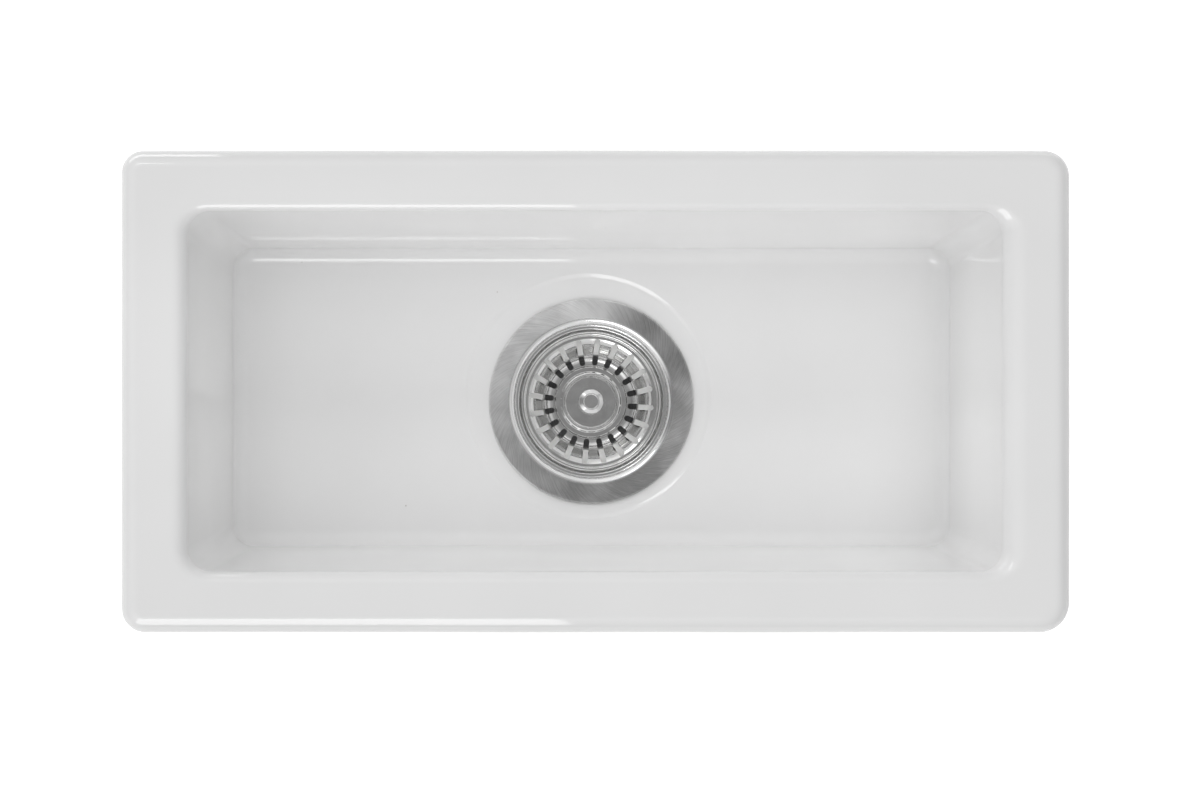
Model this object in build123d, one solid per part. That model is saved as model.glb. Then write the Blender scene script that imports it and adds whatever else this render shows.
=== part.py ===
from build123d import *
import math
import os

# Undermount fireclay sink with a basket strainer waste. Sizes are in millimetres.
# +X runs along the sink, +Y across it and +Z up.
# The origin is the centre of the rim's top face, so the whole bowl lies below it.

# Fireclay bowl
rim_length = 472.0
rim_width = 240.0
rim_thickness = 22.0
rim_corner = 13.0
rim_edge_round = 9.0
rim_under_round = 3.0
end_border = 32.5
side_border = 30.2
lip_round = 8.0
bowl_depth = 160.0
bowl_draft = 3.4
bowl_corner = 12.0
floor_round = 7.0
floor_fall = 0.8
base_thickness = 20.0
shell_step = 14.0
shell_draft = 4.3
shell_corner = 26.0
shell_round = 12.0
step_round = 5.0

# Waste hole through the base, and the place of every piece of the waste
waste_x = 0.0
waste_y = -2.0
waste_hole_round = 1.5

# Recess pressed in the floor round the flange, a little off the hole as on the real casting
recess_x = -1.6
recess_y = 0.8
recess_margin = 4.5
recess_slope_run = 4.0
recess_depth = 4.0
recess_round = 3.0

# Seals between the waste and the fireclay
flange_seal_thickness = 1.2
flange_seal_width = 8.5
under_gasket_thickness = 3.0
slip_washer_thickness = 1.5
slip_washer_inset = 2.0
washer_clearance = 0.2

# Steel flange ring, a pressing of one thickness with two steps inside
flange_radius = 56.0
flange_cover = 11.0
flange_sheet = 0.7
flange_edge_drop = 2.2
flange_edge_round = 0.9
shoulder_round = 2.0
first_step_drop = 3.0
first_step_run = 1.9
second_step_drop = 1.6
second_step_run = 1.1
step_edge_round = 0.5
step_root_round = 0.25
neck_round = 0.7
neck_length = 10.0

# Plastic waste body
body_flange_thickness = 3.2
body_edge_clearance = 0.3
body_neck_clearance = 1.5
body_neck_wall = 3.5
body_neck_tail = 4.5
skirt_wall = 3.2
dish_corner_run = 1.6
dish_corner_drop = 3.0
dish_wall = 3.0
dish_slope = 28.0
seat_clearance = 0.9
seat_drop = 4.0
seat_run = 2.5
throat_taper = 10.0
throat_wall = 3.0
throat_ledge = 2.0
outlet_thread_radius = 23.9
outlet_thread_depth = 1.0
outlet_thread_length = 18.0
outlet_wall = 3.1
outlet_length = 33.0
rib_count = 6
rib_thickness = 2.0
rib_end_gap = 3.0

# Arms and a hub across the throat, with the socket for the guide post
arm_count = 3
arm_thickness = 2.2
arm_height = 7.0
arm_drop = 1.5
hub_wall = 2.6
hub_height = 12.5
socket_radius = 6.0
socket_lead_in = 0.6

# Backnut with lugs
backnut_height = 14.0
backnut_ring = 7.5
lug_count = 8
lug_reach = 5.5
lug_width = 11.0
lug_round = 2.0

# Strainer basket, a pressing of one thickness
cup_sheet = 0.6
cup_rim_drop = 3.5
cup_rim_clearance = 1.1
cup_rim_width = 1.9
cup_curl_depth = 2.0
cup_curl_round = 0.9
cup_ledge_drop = 1.3
cup_ledge_width = 4.4
cup_ledge_round = 0.35
cup_wall_top_round = 1.7
cup_wall_lean = 5.3
cup_bottom_round = 2.2
cup_bottom_width = 6.6
cup_depth = 21.5
cup_centre_rise = 2.0
cup_centre_round = 0.5
cup_centre_width = 3.1
bead_width = 1.1
bead_rise = 0.7
bead_round = 0.3
plate_drop = 1.5
plate_edge_run = 1.4
slot_count = 20
slot_first_angle = 12.0
slot_width = 2.7
slot_inner_margin = 0.5
slot_ledge_reach = 2.5

# Knob on the basket
knob_height = 18.5
knob_head_radius = 6.7
knob_head_height = 6.0
knob_head_round = 2.2
knob_face_dish = 0.35
knob_face_radius = 4.2
knob_neck_radius = 3.4
knob_foot_radius = 5.6
knob_foot_height = 1.6
knob_neck_round = 2.0

# Stem and what it carries below the cup
stem_radius = 2.5
stem_grip = 9.0
stem_hole_clearance = 0.1
stem_tail = 1.6
o_ring_section = 1.2
seal_inset = 1.0
seal_thickness = 5.0
seal_gap = 0.25
seal_edge = 1.4
seal_rib_pitch = 1.4
seal_groove_width = 0.7
seal_groove_depth = 0.6
seal_groove_count = 3
seal_lip_width = 9.8
retainer_thickness = 1.0
retainer_turn_up = 0.8
retainer_clearance = 0.3
nut_across_flats = 8.0
nut_height = 3.0

# Guide post with spring fingers, turning freely on the stem
post_running_clearance = 0.05
post_guide_clearance = 0.08
post_gap = 0.3
post_collar_width = 1.6
post_collar_height = 1.2
post_ring_rise = 0.52
post_ring_height = 1.6
post_length = 15.0
post_slit_width = 1.2
post_slit_length = 10.0
post_fingers = 4
clip_width = 1.9
clip_thickness = 0.7
clip_opening = 2.4

# Heights that follow from the sizes above
bowl_height = bowl_depth + base_thickness
recess_floor_z = -bowl_depth - recess_depth
body_flange_z = recess_floor_z + flange_seal_thickness
body_top_z = body_flange_z + body_flange_thickness
flange_top_z = body_top_z + flange_sheet
under_gasket_z = -bowl_height - under_gasket_thickness
slip_washer_z = under_gasket_z - slip_washer_thickness
backnut_z = slip_washer_z - backnut_height
neck_end_z = backnut_z - body_neck_tail

cup_rim_z = flange_top_z - cup_rim_drop
cup_bottom_z = cup_rim_z - cup_depth
cup_under_z = cup_bottom_z - cup_sheet
plate_z = cup_bottom_z + cup_centre_rise + bead_rise - plate_drop
plate_under_z = plate_z - cup_sheet

seal_under_z = cup_under_z - seal_thickness
seat_top_z = seal_under_z - seal_gap + seat_drop
retainer_top_z = cup_under_z - seal_thickness / 2
retainer_under_z = retainer_top_z - retainer_thickness
nut_under_z = retainer_under_z - nut_height
post_top_z = nut_under_z - post_gap
post_end_z = post_top_z - post_length
hub_top_z = post_top_z - post_collar_height - post_gap
hub_end_z = hub_top_z - hub_height
clip_top_z = post_end_z - post_gap
stem_end_z = clip_top_z - clip_thickness - stem_tail

# Radii of the waste, from the flange and from the hole that it covers inwards
waste_hole_radius = flange_radius - flange_cover
clamp_radius = flange_radius - flange_sheet - body_edge_clearance
recess_flat_radius = flange_radius + recess_margin
recess_radius = recess_flat_radius + recess_slope_run
body_neck_radius = waste_hole_radius - body_neck_clearance
neck_bore_radius = body_neck_radius - body_neck_wall
neck_radius = neck_bore_radius - flange_sheet
second_step_radius = neck_radius + second_step_run
shoulder_radius = second_step_radius + first_step_run
skirt_inner_radius = body_neck_radius - skirt_wall
washer_radius = body_neck_radius + washer_clearance
outlet_relief_radius = outlet_thread_radius - outlet_thread_depth
outlet_bore_radius = outlet_relief_radius - outlet_wall

# Radii of the basket, from its rim inwards
cup_rim_radius = neck_radius - cup_rim_clearance
cup_wall_top_radius = cup_rim_radius - cup_rim_width - cup_ledge_width
cup_wall_bottom_radius = cup_wall_top_radius - cup_wall_lean
cup_centre_radius = cup_wall_bottom_radius - cup_bottom_width
bead_radius = cup_centre_radius - cup_centre_width
slot_inner_radius = cup_centre_radius + slot_inner_margin
slot_outer_radius = cup_wall_top_radius + slot_ledge_reach
cup_stem_hole_radius = stem_radius + stem_hole_clearance
seal_radius = cup_wall_bottom_radius - seal_inset
seat_top_radius = seal_radius + seat_clearance
seat_end_radius = seat_top_radius - seat_run
seal_recess_radius = seal_radius - seal_lip_width
retainer_radius = seal_recess_radius - retainer_clearance

# Radii of the socket and what turns in it
hub_radius = socket_radius + hub_wall
socket_ring_radius = socket_radius - post_guide_clearance
post_barrel_radius = socket_ring_radius - post_ring_rise
post_collar_radius = socket_radius + post_collar_width
clip_radius = stem_radius + clip_width


def turned(*outline):
    """Solid of revolution from an outline of (radius, height) points."""
    return revolve(Plane.XZ * make_face(Polyline(*outline, close=True)), Axis.Z)


def pressed(points, rounds, sheet):
    """Round pressing of one thickness, hung under a line of (radius, height) points."""
    corners = [Vector(*point) for point in points]
    ways = [(after - before).normalized() for before, after in zip(corners, corners[1:])]
    sides = [Vector(-way.Y, way.X) for way in ways]
    under_corners = [corners[0] + sides[0] * sheet]
    under_rounds = []
    for corner, before, after, bend in zip(corners[1:], sides, sides[1:], rounds):
        under_corners.append(corner + (before + after) * (sheet / (1 + before.dot(after))))
        turns_down = before.cross(after).Z > 0
        under_rounds.append(max(bend - sheet, 0) if turns_down else bend + sheet)
    under_corners.append(corners[-1] + sides[-1] * sheet)
    top = FilletPolyline(*corners, radius=rounds)
    under = FilletPolyline(*under_corners, radius=under_rounds)
    ends = Line(corners[0], under_corners[0]) + Line(corners[-1], under_corners[-1])
    return revolve(Plane.XZ * make_face(top + under + ends), Axis.Z)


def ring(inner_radius, outer_radius, low_z, high_z):
    """Flat washer between two heights."""
    return turned(
        (inner_radius, low_z),
        (outer_radius, low_z),
        (outer_radius, high_z),
        (inner_radius, high_z),
    )


def at_waste(piece):
    """Moves a piece of the waste from the Z axis to the waste hole."""
    return Pos(waste_x, waste_y, 0) * piece


def plan(length, width, corner, z):
    """Rounded rectangle in a level plane."""
    return Pos(0, 0, z) * RectangleRounded(length, width, corner)


def drafted_block(length, width, corner, top_z, depth, draft):
    """Block whose four sides lean in by a draft angle from its top down to its depth."""
    lean = 2 * depth * math.tan(math.radians(draft))
    top = plan(length, width, corner, top_z)
    bottom = plan(length - lean, width - lean, corner, top_z - depth)
    return loft([top, bottom])


def make_bowl_hollow():
    """Space inside the bowl: drafted walls over a floor that falls to the recess."""
    length = rim_length - 2 * end_border
    width = rim_width - 2 * side_border
    walls = drafted_block(length, width, bowl_corner, 0, bowl_depth + 2 * recess_depth, bowl_draft)

    reach = rim_length
    rise = (reach - recess_radius) * math.tan(math.radians(floor_fall))
    start = (recess_flat_radius / 2, recess_floor_z)
    foot = (recess_flat_radius, recess_floor_z)
    edge = (recess_radius, -bowl_depth)
    far = (reach, -bowl_depth + rise)
    floor_line = FilletPolyline(start, foot, edge, far, radius=recess_round)
    closing_line = Polyline(far, (reach, reach), (0, reach), (0, recess_floor_z), start)
    above_floor = revolve(Plane.XZ * make_face(floor_line + closing_line), Axis.Z)
    hollow = walls & (Pos(recess_x, recess_y, 0) * above_floor)

    lowest_wall_z = -bowl_depth + recess_depth
    wall_foot = [
        edge for edge in hollow.edges()
        if edge.bounding_box().max.Z < lowest_wall_z
        and not is_round_the_waste(edge)
    ]
    return fillet(wall_foot, floor_round)


def is_round_the_waste(edge):
    """True for an edge of the recess, which lies within its blended outer radius."""
    box = edge.bounding_box()
    limit = recess_radius + recess_round
    return box.size.X < 2 * limit and box.size.Y < 2 * limit and (
        abs(box.center().X - recess_x) < 1 and abs(box.center().Y - recess_y) < 1
    )


def make_sink_bowl():
    """Fireclay casting: rim, drafted shell, bowl, recess and waste hole."""
    rim = extrude(plan(rim_length, rim_width, rim_corner, -rim_thickness), rim_thickness)
    top_round = min(rim_edge_round, 0.9 * rim_corner)
    under_round = min(rim_under_round, 0.9 * rim_corner)
    rim = fillet(rim.faces().sort_by(Axis.Z)[-1].edges(), top_round)
    rim = fillet(rim.faces().sort_by(Axis.Z)[0].edges(), under_round)

    shell_length = rim_length - 2 * shell_step
    shell_width = rim_width - 2 * shell_step
    overlap = rim_thickness / 2
    shell_height = bowl_height - overlap
    shell = drafted_block(shell_length, shell_width, shell_corner, -overlap, shell_height, shell_draft)
    shell = fillet(shell.faces().sort_by(Axis.Z)[0].edges(), shell_round)

    casting = rim + shell
    step_edges = [
        edge for edge in casting.edges()
        if abs(edge.bounding_box().max.Z + rim_thickness) < 0.01
        and abs(edge.bounding_box().min.Z + rim_thickness) < 0.01
        and abs(edge.center().X) < shell_length / 2
        and abs(edge.center().Y) < shell_width / 2
    ]
    casting = fillet(step_edges, step_round)
    casting = casting - make_bowl_hollow()
    lip = [
        edge for edge in casting.edges()
        if edge.bounding_box().min.Z > -0.01
        and abs(edge.center().X) < rim_length / 2 - end_border + 1
        and abs(edge.center().Y) < rim_width / 2 - side_border + 1
    ]
    casting = fillet(lip, lip_round)

    hole = at_waste(Pos(0, 0, -bowl_height) * Cylinder(waste_hole_radius, 2 * base_thickness))
    casting = casting - hole
    hole_edges = [
        edge for edge in casting.edges()
        if edge.geom_type == GeomType.CIRCLE and abs(edge.radius - waste_hole_radius) < 0.01
    ]
    return fillet(hole_edges, waste_hole_round)


def make_flange_ring():
    """Stainless cover ring: flat flange with a turned-down edge, two steps and a neck."""
    first_step_z = flange_top_z - first_step_drop
    second_step_z = first_step_z - second_step_drop
    points = [
        (flange_radius, flange_top_z - flange_edge_drop),
        (flange_radius, flange_top_z),
        (shoulder_radius, flange_top_z),
        (shoulder_radius, first_step_z),
        (second_step_radius, first_step_z),
        (second_step_radius, second_step_z),
        (neck_radius, second_step_z),
        (neck_radius, second_step_z - neck_length),
    ]
    rounds = [
        flange_edge_round,
        shoulder_round,
        step_root_round,
        step_edge_round,
        step_root_round,
        neck_round,
    ]
    return at_waste(pressed(points, rounds, flange_sheet))


def make_flange_seal():
    """Flat rubber washer under the waste's flange."""
    inner = clamp_radius - flange_seal_width
    return at_waste(ring(inner, clamp_radius, recess_floor_z, body_flange_z))


def make_under_gasket():
    """Thick rubber washer pressed against the underside of the base."""
    return at_waste(ring(washer_radius, clamp_radius, under_gasket_z, -bowl_height))


def make_slip_washer():
    """Hard plastic washer between the gasket and the backnut."""
    outer = clamp_radius - slip_washer_inset
    return at_waste(ring(washer_radius, outer, slip_washer_z, under_gasket_z))


def make_backnut():
    """Large plastic nut with lugs for a spanner or a hand."""
    outer = body_neck_radius + backnut_ring
    nut = Pos(0, 0, (backnut_z + slip_washer_z) / 2) * Cylinder(outer, backnut_height)
    lug = Pos(outer, 0, (backnut_z + slip_washer_z) / 2) * Box(2 * lug_reach, lug_width, backnut_height)
    lug = fillet(lug.edges().filter_by(Axis.Z), lug_round)
    for index in range(lug_count):
        nut = nut + Rot(0, 0, index * 360 / lug_count) * lug
    bore = Pos(0, 0, backnut_z) * Cylinder(body_neck_radius, 4 * backnut_height)
    return at_waste(nut - bore)


def make_waste_body():
    """Plastic body: flange, threaded neck, dish with the plug's seat, throat and outlet."""
    shoulder_bore = shoulder_radius + flange_sheet
    step_bore = second_step_radius + flange_sheet
    first_step_z = flange_top_z - first_step_drop - flange_sheet
    second_step_z = first_step_z - second_step_drop
    slope = math.tan(math.radians(dish_slope))
    dish_edge_radius = neck_bore_radius - dish_corner_run
    dish_edge_z = seat_top_z + (dish_edge_radius - seat_top_radius) * slope
    seat_end_z = seat_top_z - seat_drop
    throat_end_z = seat_end_z - throat_taper
    throat_outer = seat_top_radius + throat_ledge
    pocket_top_z = seat_top_z + (skirt_inner_radius - seat_top_radius) * slope - dish_wall
    pocket_low_z = seat_top_z + (throat_outer - seat_top_radius) * slope - dish_wall
    outlet_end_z = neck_end_z - outlet_length
    thread_top_z = outlet_end_z + outlet_thread_length
    body = turned(
        (shoulder_bore + shoulder_round - flange_sheet, body_top_z),
        (clamp_radius, body_top_z),
        (clamp_radius, body_flange_z),
        (body_neck_radius, body_flange_z),
        (body_neck_radius, neck_end_z),
        (skirt_inner_radius, neck_end_z),
        (skirt_inner_radius, pocket_top_z),
        (throat_outer, pocket_low_z),
        (outlet_relief_radius + throat_wall, neck_end_z),
        (outlet_relief_radius, neck_end_z - throat_wall),
        (outlet_relief_radius, thread_top_z),
        (outlet_thread_radius, thread_top_z),
        (outlet_thread_radius, outlet_end_z),
        (outlet_bore_radius, outlet_end_z),
        (outlet_bore_radius, throat_end_z),
        (seat_end_radius, seat_end_z),
        (seat_top_radius, seat_top_z),
        (dish_edge_radius, dish_edge_z),
        (neck_bore_radius, dish_edge_z + dish_corner_drop),
        (neck_bore_radius, second_step_z),
        (step_bore, second_step_z),
        (step_bore, first_step_z),
        (shoulder_bore, first_step_z),
        (shoulder_bore, flange_top_z - shoulder_round),
    )
    ribs = make_pocket_ribs(throat_outer, pocket_low_z, pocket_top_z)
    return at_waste(body + ribs + make_spider(throat_end_z))


def make_pocket_ribs(throat_outer, throat_side_z, skirt_side_z):
    """Radial ribs that stiffen the hollow between the throat and the threaded neck."""
    low_z = neck_end_z + rib_end_gap
    root = throat_wall / 2
    skirt_middle = skirt_inner_radius + skirt_wall / 2
    outline = Polyline(
        (outlet_relief_radius + root, low_z),
        (skirt_middle, low_z),
        (skirt_middle, skirt_side_z + root),
        (throat_outer - root, throat_side_z + root),
        close=True,
    )
    rib = extrude(Plane.XZ * make_face(outline), rib_thickness / 2, both=True)
    ribs = rib
    for index in range(1, rib_count):
        ribs = ribs + Rot(0, 0, index * 360 / rib_count) * rib
    return ribs


def make_spider(throat_end_z):
    """Hub with the guide post's socket, held in the throat by level arms."""
    arm_top_z = hub_top_z - arm_drop
    reach = max(seat_end_radius, outlet_bore_radius) + throat_wall
    arm = Pos(reach / 2, 0, arm_top_z - arm_height / 2) * Box(reach, arm_thickness, arm_height)
    spider = ring(0, hub_radius, hub_end_z, hub_top_z)
    for index in range(arm_count):
        spider = spider + Rot(0, 0, (index + 0.5) * 360 / arm_count) * arm
    inside_throat = turned(
        (0, hub_end_z),
        (outlet_bore_radius + throat_wall / 2, hub_end_z),
        (outlet_bore_radius + throat_wall / 2, throat_end_z),
        (seat_end_radius + throat_wall / 2, throat_end_z + throat_taper),
        (0, throat_end_z + throat_taper),
    )
    socket = turned(
        (0, hub_end_z - 1),
        (socket_radius, hub_end_z - 1),
        (socket_radius, hub_top_z - socket_lead_in),
        (socket_radius + 2 * socket_lead_in, hub_top_z + socket_lead_in),
        (0, hub_top_z + socket_lead_in),
    )
    return (spider & inside_throat) - socket


def make_basket_cup():
    """Pressed strainer cup: rolled rim, ledge, slotted wall, raised centre with a bead."""
    ledge_z = cup_rim_z - cup_ledge_drop
    rim_inner = cup_rim_radius - cup_rim_width
    centre_z = cup_bottom_z + cup_centre_rise
    bead_z = centre_z + bead_rise
    bead_inner = bead_radius - bead_width
    points = [
        (cup_rim_radius, cup_rim_z - cup_curl_depth),
        (cup_rim_radius, cup_rim_z),
        (rim_inner, cup_rim_z),
        (rim_inner - cup_ledge_round, ledge_z),
        (cup_wall_top_radius, ledge_z),
        (cup_wall_bottom_radius, cup_bottom_z),
        (cup_centre_radius, cup_bottom_z),
        (cup_centre_radius - cup_centre_round, centre_z),
        (bead_radius, centre_z),
        (bead_radius - bead_round, bead_z),
        (bead_inner, bead_z),
        (bead_inner - plate_edge_run, plate_z),
        (cup_stem_hole_radius, plate_z),
    ]
    rounds = [
        cup_curl_round,
        cup_curl_round,
        cup_ledge_round,
        cup_wall_top_round,
        cup_bottom_round,
        cup_centre_round,
        cup_centre_round,
        bead_round,
        bead_round,
        bead_round,
        bead_round,
    ]
    cup = pressed(points, rounds, cup_sheet)
    return at_waste(cup - make_strainer_slots())


def make_strainer_slots():
    """Punches for the strainer's slots, each running down the wall and in over the bottom."""
    length = slot_outer_radius - slot_inner_radius
    middle = (slot_outer_radius + slot_inner_radius) / 2
    height = cup_depth + 2 * cup_sheet
    punch = extrude(Pos(middle, 0, cup_under_z - cup_sheet) * SlotOverall(length, slot_width), height)
    return [
        Rot(0, 0, slot_first_angle + index * 360 / slot_count) * punch
        for index in range(slot_count)
    ]


def make_knob():
    """Turned knob with a foot, a waisted neck and a rounded head, bored for the stem."""
    top_z = plate_z + knob_height
    head_low_z = top_z - knob_head_height
    foot_top_z = plate_z + knob_foot_height
    section = Polyline(
        (0, plate_z),
        (knob_foot_radius, plate_z),
        (knob_foot_radius, foot_top_z),
        (knob_neck_radius, foot_top_z + knob_foot_height),
        (knob_neck_radius, head_low_z),
        (knob_head_radius, head_low_z + knob_foot_height),
        (knob_head_radius, top_z),
        (knob_face_radius, top_z),
        (knob_face_radius - knob_face_dish, top_z - knob_face_dish),
        (0, top_z - knob_face_dish),
        close=True,
    )
    knob = revolve(Plane.XZ * make_face(section), Axis.Z)
    rounded = [
        edge for edge in knob.edges().filter_by(GeomType.CIRCLE)
        if abs(edge.radius - knob_head_radius) < 0.01 and edge.center().Z > top_z - 0.01
    ]
    knob = fillet(rounded, knob_head_round)
    waist = [
        edge for edge in knob.edges().filter_by(GeomType.CIRCLE)
        if abs(edge.radius - knob_neck_radius) < 0.01
    ]
    knob = fillet(waist, knob_neck_round)
    bore = ring(0, stem_radius, plate_z - 1, plate_z + stem_grip)
    return at_waste(knob - bore)


def make_stem():
    """Threaded stud from the knob down to the clip, with a groove for the clip."""
    groove_radius = stem_radius - clip_thickness / 2
    return at_waste(turned(
        (0, stem_end_z),
        (stem_radius - stem_tail / 4, stem_end_z),
        (stem_radius, stem_end_z + stem_tail / 2),
        (stem_radius, clip_top_z - clip_thickness),
        (groove_radius, clip_top_z - clip_thickness),
        (groove_radius, clip_top_z),
        (stem_radius, clip_top_z),
        (stem_radius, plate_z + stem_grip),
        (0, plate_z + stem_grip),
    ))


def make_stem_o_ring():
    """Small rubber ring on the stem, squeezed between the cup's plate and the plug seal."""
    outer = stem_radius + o_ring_section
    return at_waste(ring(stem_radius, outer, plate_under_z - o_ring_section, plate_under_z))


def make_plug_seal():
    """Rubber seal: ribbed shoulder under the cup's bottom ring and a tapered sealing edge."""
    slope = seat_run / seat_drop
    edge_top_z = cup_under_z - seal_edge
    edge_low_radius = seal_radius - (edge_top_z - seal_under_z) * slope
    pad_radius = bead_radius - bead_width - plate_edge_run - cup_sheet
    ring_seat_radius = stem_radius + o_ring_section
    ring_seat_z = plate_under_z - o_ring_section
    seal = turned(
        (stem_radius, retainer_top_z),
        (seal_recess_radius, retainer_top_z),
        (seal_recess_radius, seal_under_z),
        (edge_low_radius, seal_under_z),
        (seal_radius, edge_top_z),
        (seal_radius - seal_edge / 4, cup_under_z),
        (pad_radius, cup_under_z),
        (pad_radius, plate_under_z),
        (ring_seat_radius, plate_under_z),
        (ring_seat_radius, ring_seat_z),
        (stem_radius, ring_seat_z),
    )
    for index in range(seal_groove_count):
        inner = slot_inner_radius + seal_groove_width + index * seal_rib_pitch
        groove = ring(inner, inner + seal_groove_width, cup_under_z - seal_groove_depth, cup_under_z + 1)
        seal = seal - groove
    return at_waste(seal)


def make_seal_retainer():
    """Pressed disc that holds the seal up, with its edge turned down."""
    return at_waste(turned(
        (stem_radius, retainer_under_z),
        (retainer_radius - retainer_thickness, retainer_under_z),
        (retainer_radius - retainer_thickness, retainer_under_z - retainer_turn_up),
        (retainer_radius, retainer_under_z - retainer_turn_up),
        (retainer_radius, retainer_top_z),
        (stem_radius, retainer_top_z),
    ))


def make_stem_nut():
    """Thin hexagon nut under the retainer."""
    hexagon = RegularPolygon(nut_across_flats / 2, 6, major_radius=False)
    nut = extrude(Pos(0, 0, nut_under_z) * hexagon, nut_height)
    bore = ring(0, stem_radius, nut_under_z - 1, retainer_under_z + 1)
    return at_waste(nut - bore)


def make_guide_post():
    """Plastic post with a collar and spring fingers, bored to turn on the stem."""
    bore_radius = stem_radius + post_running_clearance
    collar_under_z = post_top_z - post_collar_height
    ring_low_z = post_end_z + post_ring_height
    upper_ring_z = collar_under_z - 2 * post_ring_height
    post = turned(
        (bore_radius, post_top_z),
        (post_collar_radius, post_top_z),
        (post_collar_radius, collar_under_z),
        (post_barrel_radius, collar_under_z),
        (post_barrel_radius, upper_ring_z + post_ring_height),
        (socket_ring_radius, upper_ring_z + post_ring_height / 2),
        (socket_ring_radius, upper_ring_z),
        (post_barrel_radius, upper_ring_z - post_ring_height / 2),
        (post_barrel_radius, ring_low_z + post_ring_height),
        (socket_ring_radius, ring_low_z + post_ring_height / 2),
        (socket_ring_radius, ring_low_z),
        (post_barrel_radius - post_ring_height / 2, post_end_z),
        (bore_radius, post_end_z),
    )
    slit = Pos(0, 0, post_end_z + post_slit_length / 2) * Box(
        3 * post_barrel_radius, post_slit_width, post_slit_length
    )
    for index in range(post_fingers // 2):
        post = post - Rot(0, 0, index * 360 / post_fingers) * slit
    return at_waste(post)


def make_post_clip():
    """Open retaining ring in the stem's groove, which keeps the post on the stem."""
    clip = ring(stem_radius - clip_thickness / 2, clip_radius, clip_top_z - clip_thickness, clip_top_z)
    gap = Pos(clip_radius, 0, clip_top_z) * Box(2 * clip_radius, clip_opening, 4 * clip_thickness)
    return at_waste(clip - gap)


parts = {
    "sink_bowl": make_sink_bowl,
    "flange_ring": make_flange_ring,
    "flange_seal": make_flange_seal,
    "under_gasket": make_under_gasket,
    "slip_washer": make_slip_washer,
    "backnut": make_backnut,
    "waste_body": make_waste_body,
    "basket_cup": make_basket_cup,
    "knob": make_knob,
    "stem": make_stem,
    "stem_o_ring": make_stem_o_ring,
    "plug_seal": make_plug_seal,
    "seal_retainer": make_seal_retainer,
    "stem_nut": make_stem_nut,
    "guide_post": make_guide_post,
    "post_clip": make_post_clip,
}

os.makedirs("parts", exist_ok=True)
for name, make_piece in parts.items():
    export_step(make_piece(), f"parts/{name}.step")
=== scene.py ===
import math

import bmesh
import bpy
import numpy as np
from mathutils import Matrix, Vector, noise


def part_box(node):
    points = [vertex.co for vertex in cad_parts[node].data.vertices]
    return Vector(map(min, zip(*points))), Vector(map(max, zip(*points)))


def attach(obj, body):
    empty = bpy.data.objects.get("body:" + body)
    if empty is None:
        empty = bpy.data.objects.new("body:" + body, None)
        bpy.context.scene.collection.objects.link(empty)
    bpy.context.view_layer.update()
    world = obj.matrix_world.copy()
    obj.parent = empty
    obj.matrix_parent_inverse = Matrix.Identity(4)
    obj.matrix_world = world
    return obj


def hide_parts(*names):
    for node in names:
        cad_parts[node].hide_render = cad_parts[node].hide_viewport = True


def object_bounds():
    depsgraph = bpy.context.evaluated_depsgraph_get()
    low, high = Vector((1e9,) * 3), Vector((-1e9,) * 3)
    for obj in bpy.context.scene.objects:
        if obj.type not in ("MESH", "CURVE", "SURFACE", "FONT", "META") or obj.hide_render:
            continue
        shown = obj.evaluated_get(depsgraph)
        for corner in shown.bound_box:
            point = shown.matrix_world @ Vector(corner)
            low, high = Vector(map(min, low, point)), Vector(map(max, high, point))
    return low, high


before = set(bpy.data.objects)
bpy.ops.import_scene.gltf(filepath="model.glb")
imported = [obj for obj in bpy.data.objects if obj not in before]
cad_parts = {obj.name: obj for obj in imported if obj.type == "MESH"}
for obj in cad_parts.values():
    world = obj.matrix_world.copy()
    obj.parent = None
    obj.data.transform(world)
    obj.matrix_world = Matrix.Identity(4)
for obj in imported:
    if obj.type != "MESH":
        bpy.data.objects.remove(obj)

cad_low, cad_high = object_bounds()
mm = 0.001


# The fireclay bowl is one thick slip casting, glazed white inside, on the rim and down the outside.
# It is fired standing on its base, so the underside and the wall of the waste hole stay bare biscuit.
# In the kitchen its flat rim is held up against the underside of the worktop, round the cut-out.
bowl_low, bowl_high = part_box("sink_bowl")
half_length = bowl_high.x
half_width = bowl_high.y
base_z = bowl_low.z
rim_thickness = 22 * mm
rim_corners = (13 * mm, 11 * mm, 12 * mm, 15 * mm)
rim_edge_round = 9 * mm
rim_under_round = 3 * mm
opening_half_length = half_length - 32.5 * mm
opening_half_width = half_width - 30.2 * mm
lip_rounds = (11 * mm, 4 * mm, 7.5 * mm, 6 * mm)
bowl_depth = 160 * mm
bowl_draft = math.radians(3.4)
bowl_corner = 12 * mm
foot_round = 9 * mm
floor_fall = math.radians(0.8)
shell_step = 14 * mm
shell_draft = math.radians(4.3)
shell_top_z = -rim_thickness / 2
shell_corner = 26 * mm
shell_round = 12 * mm
step_round = 5 * mm

waste_low, waste_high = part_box("waste_body")
waste_axis = np.array(((waste_low.x + waste_high.x) / 2, (waste_low.y + waste_high.y) / 2))
waste_hole_radius = 45 * mm
waste_hole_round = 1.5 * mm
recess_centre = np.array((-1.6 * mm, 0.8 * mm))
recess_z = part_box("flange_seal")[0].z
recess_radius = 67.3 * mm
recess_edge_width = 0.6 * mm
recess_cone_width = 1.8 * mm
recess_cone_depth = 0.75 * mm
seating_radius = 55.4 * mm
seating_lip_z = recess_z + 2.75 * mm

corner_steps = 12
long_side_steps = 104
short_side_steps = 46


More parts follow.
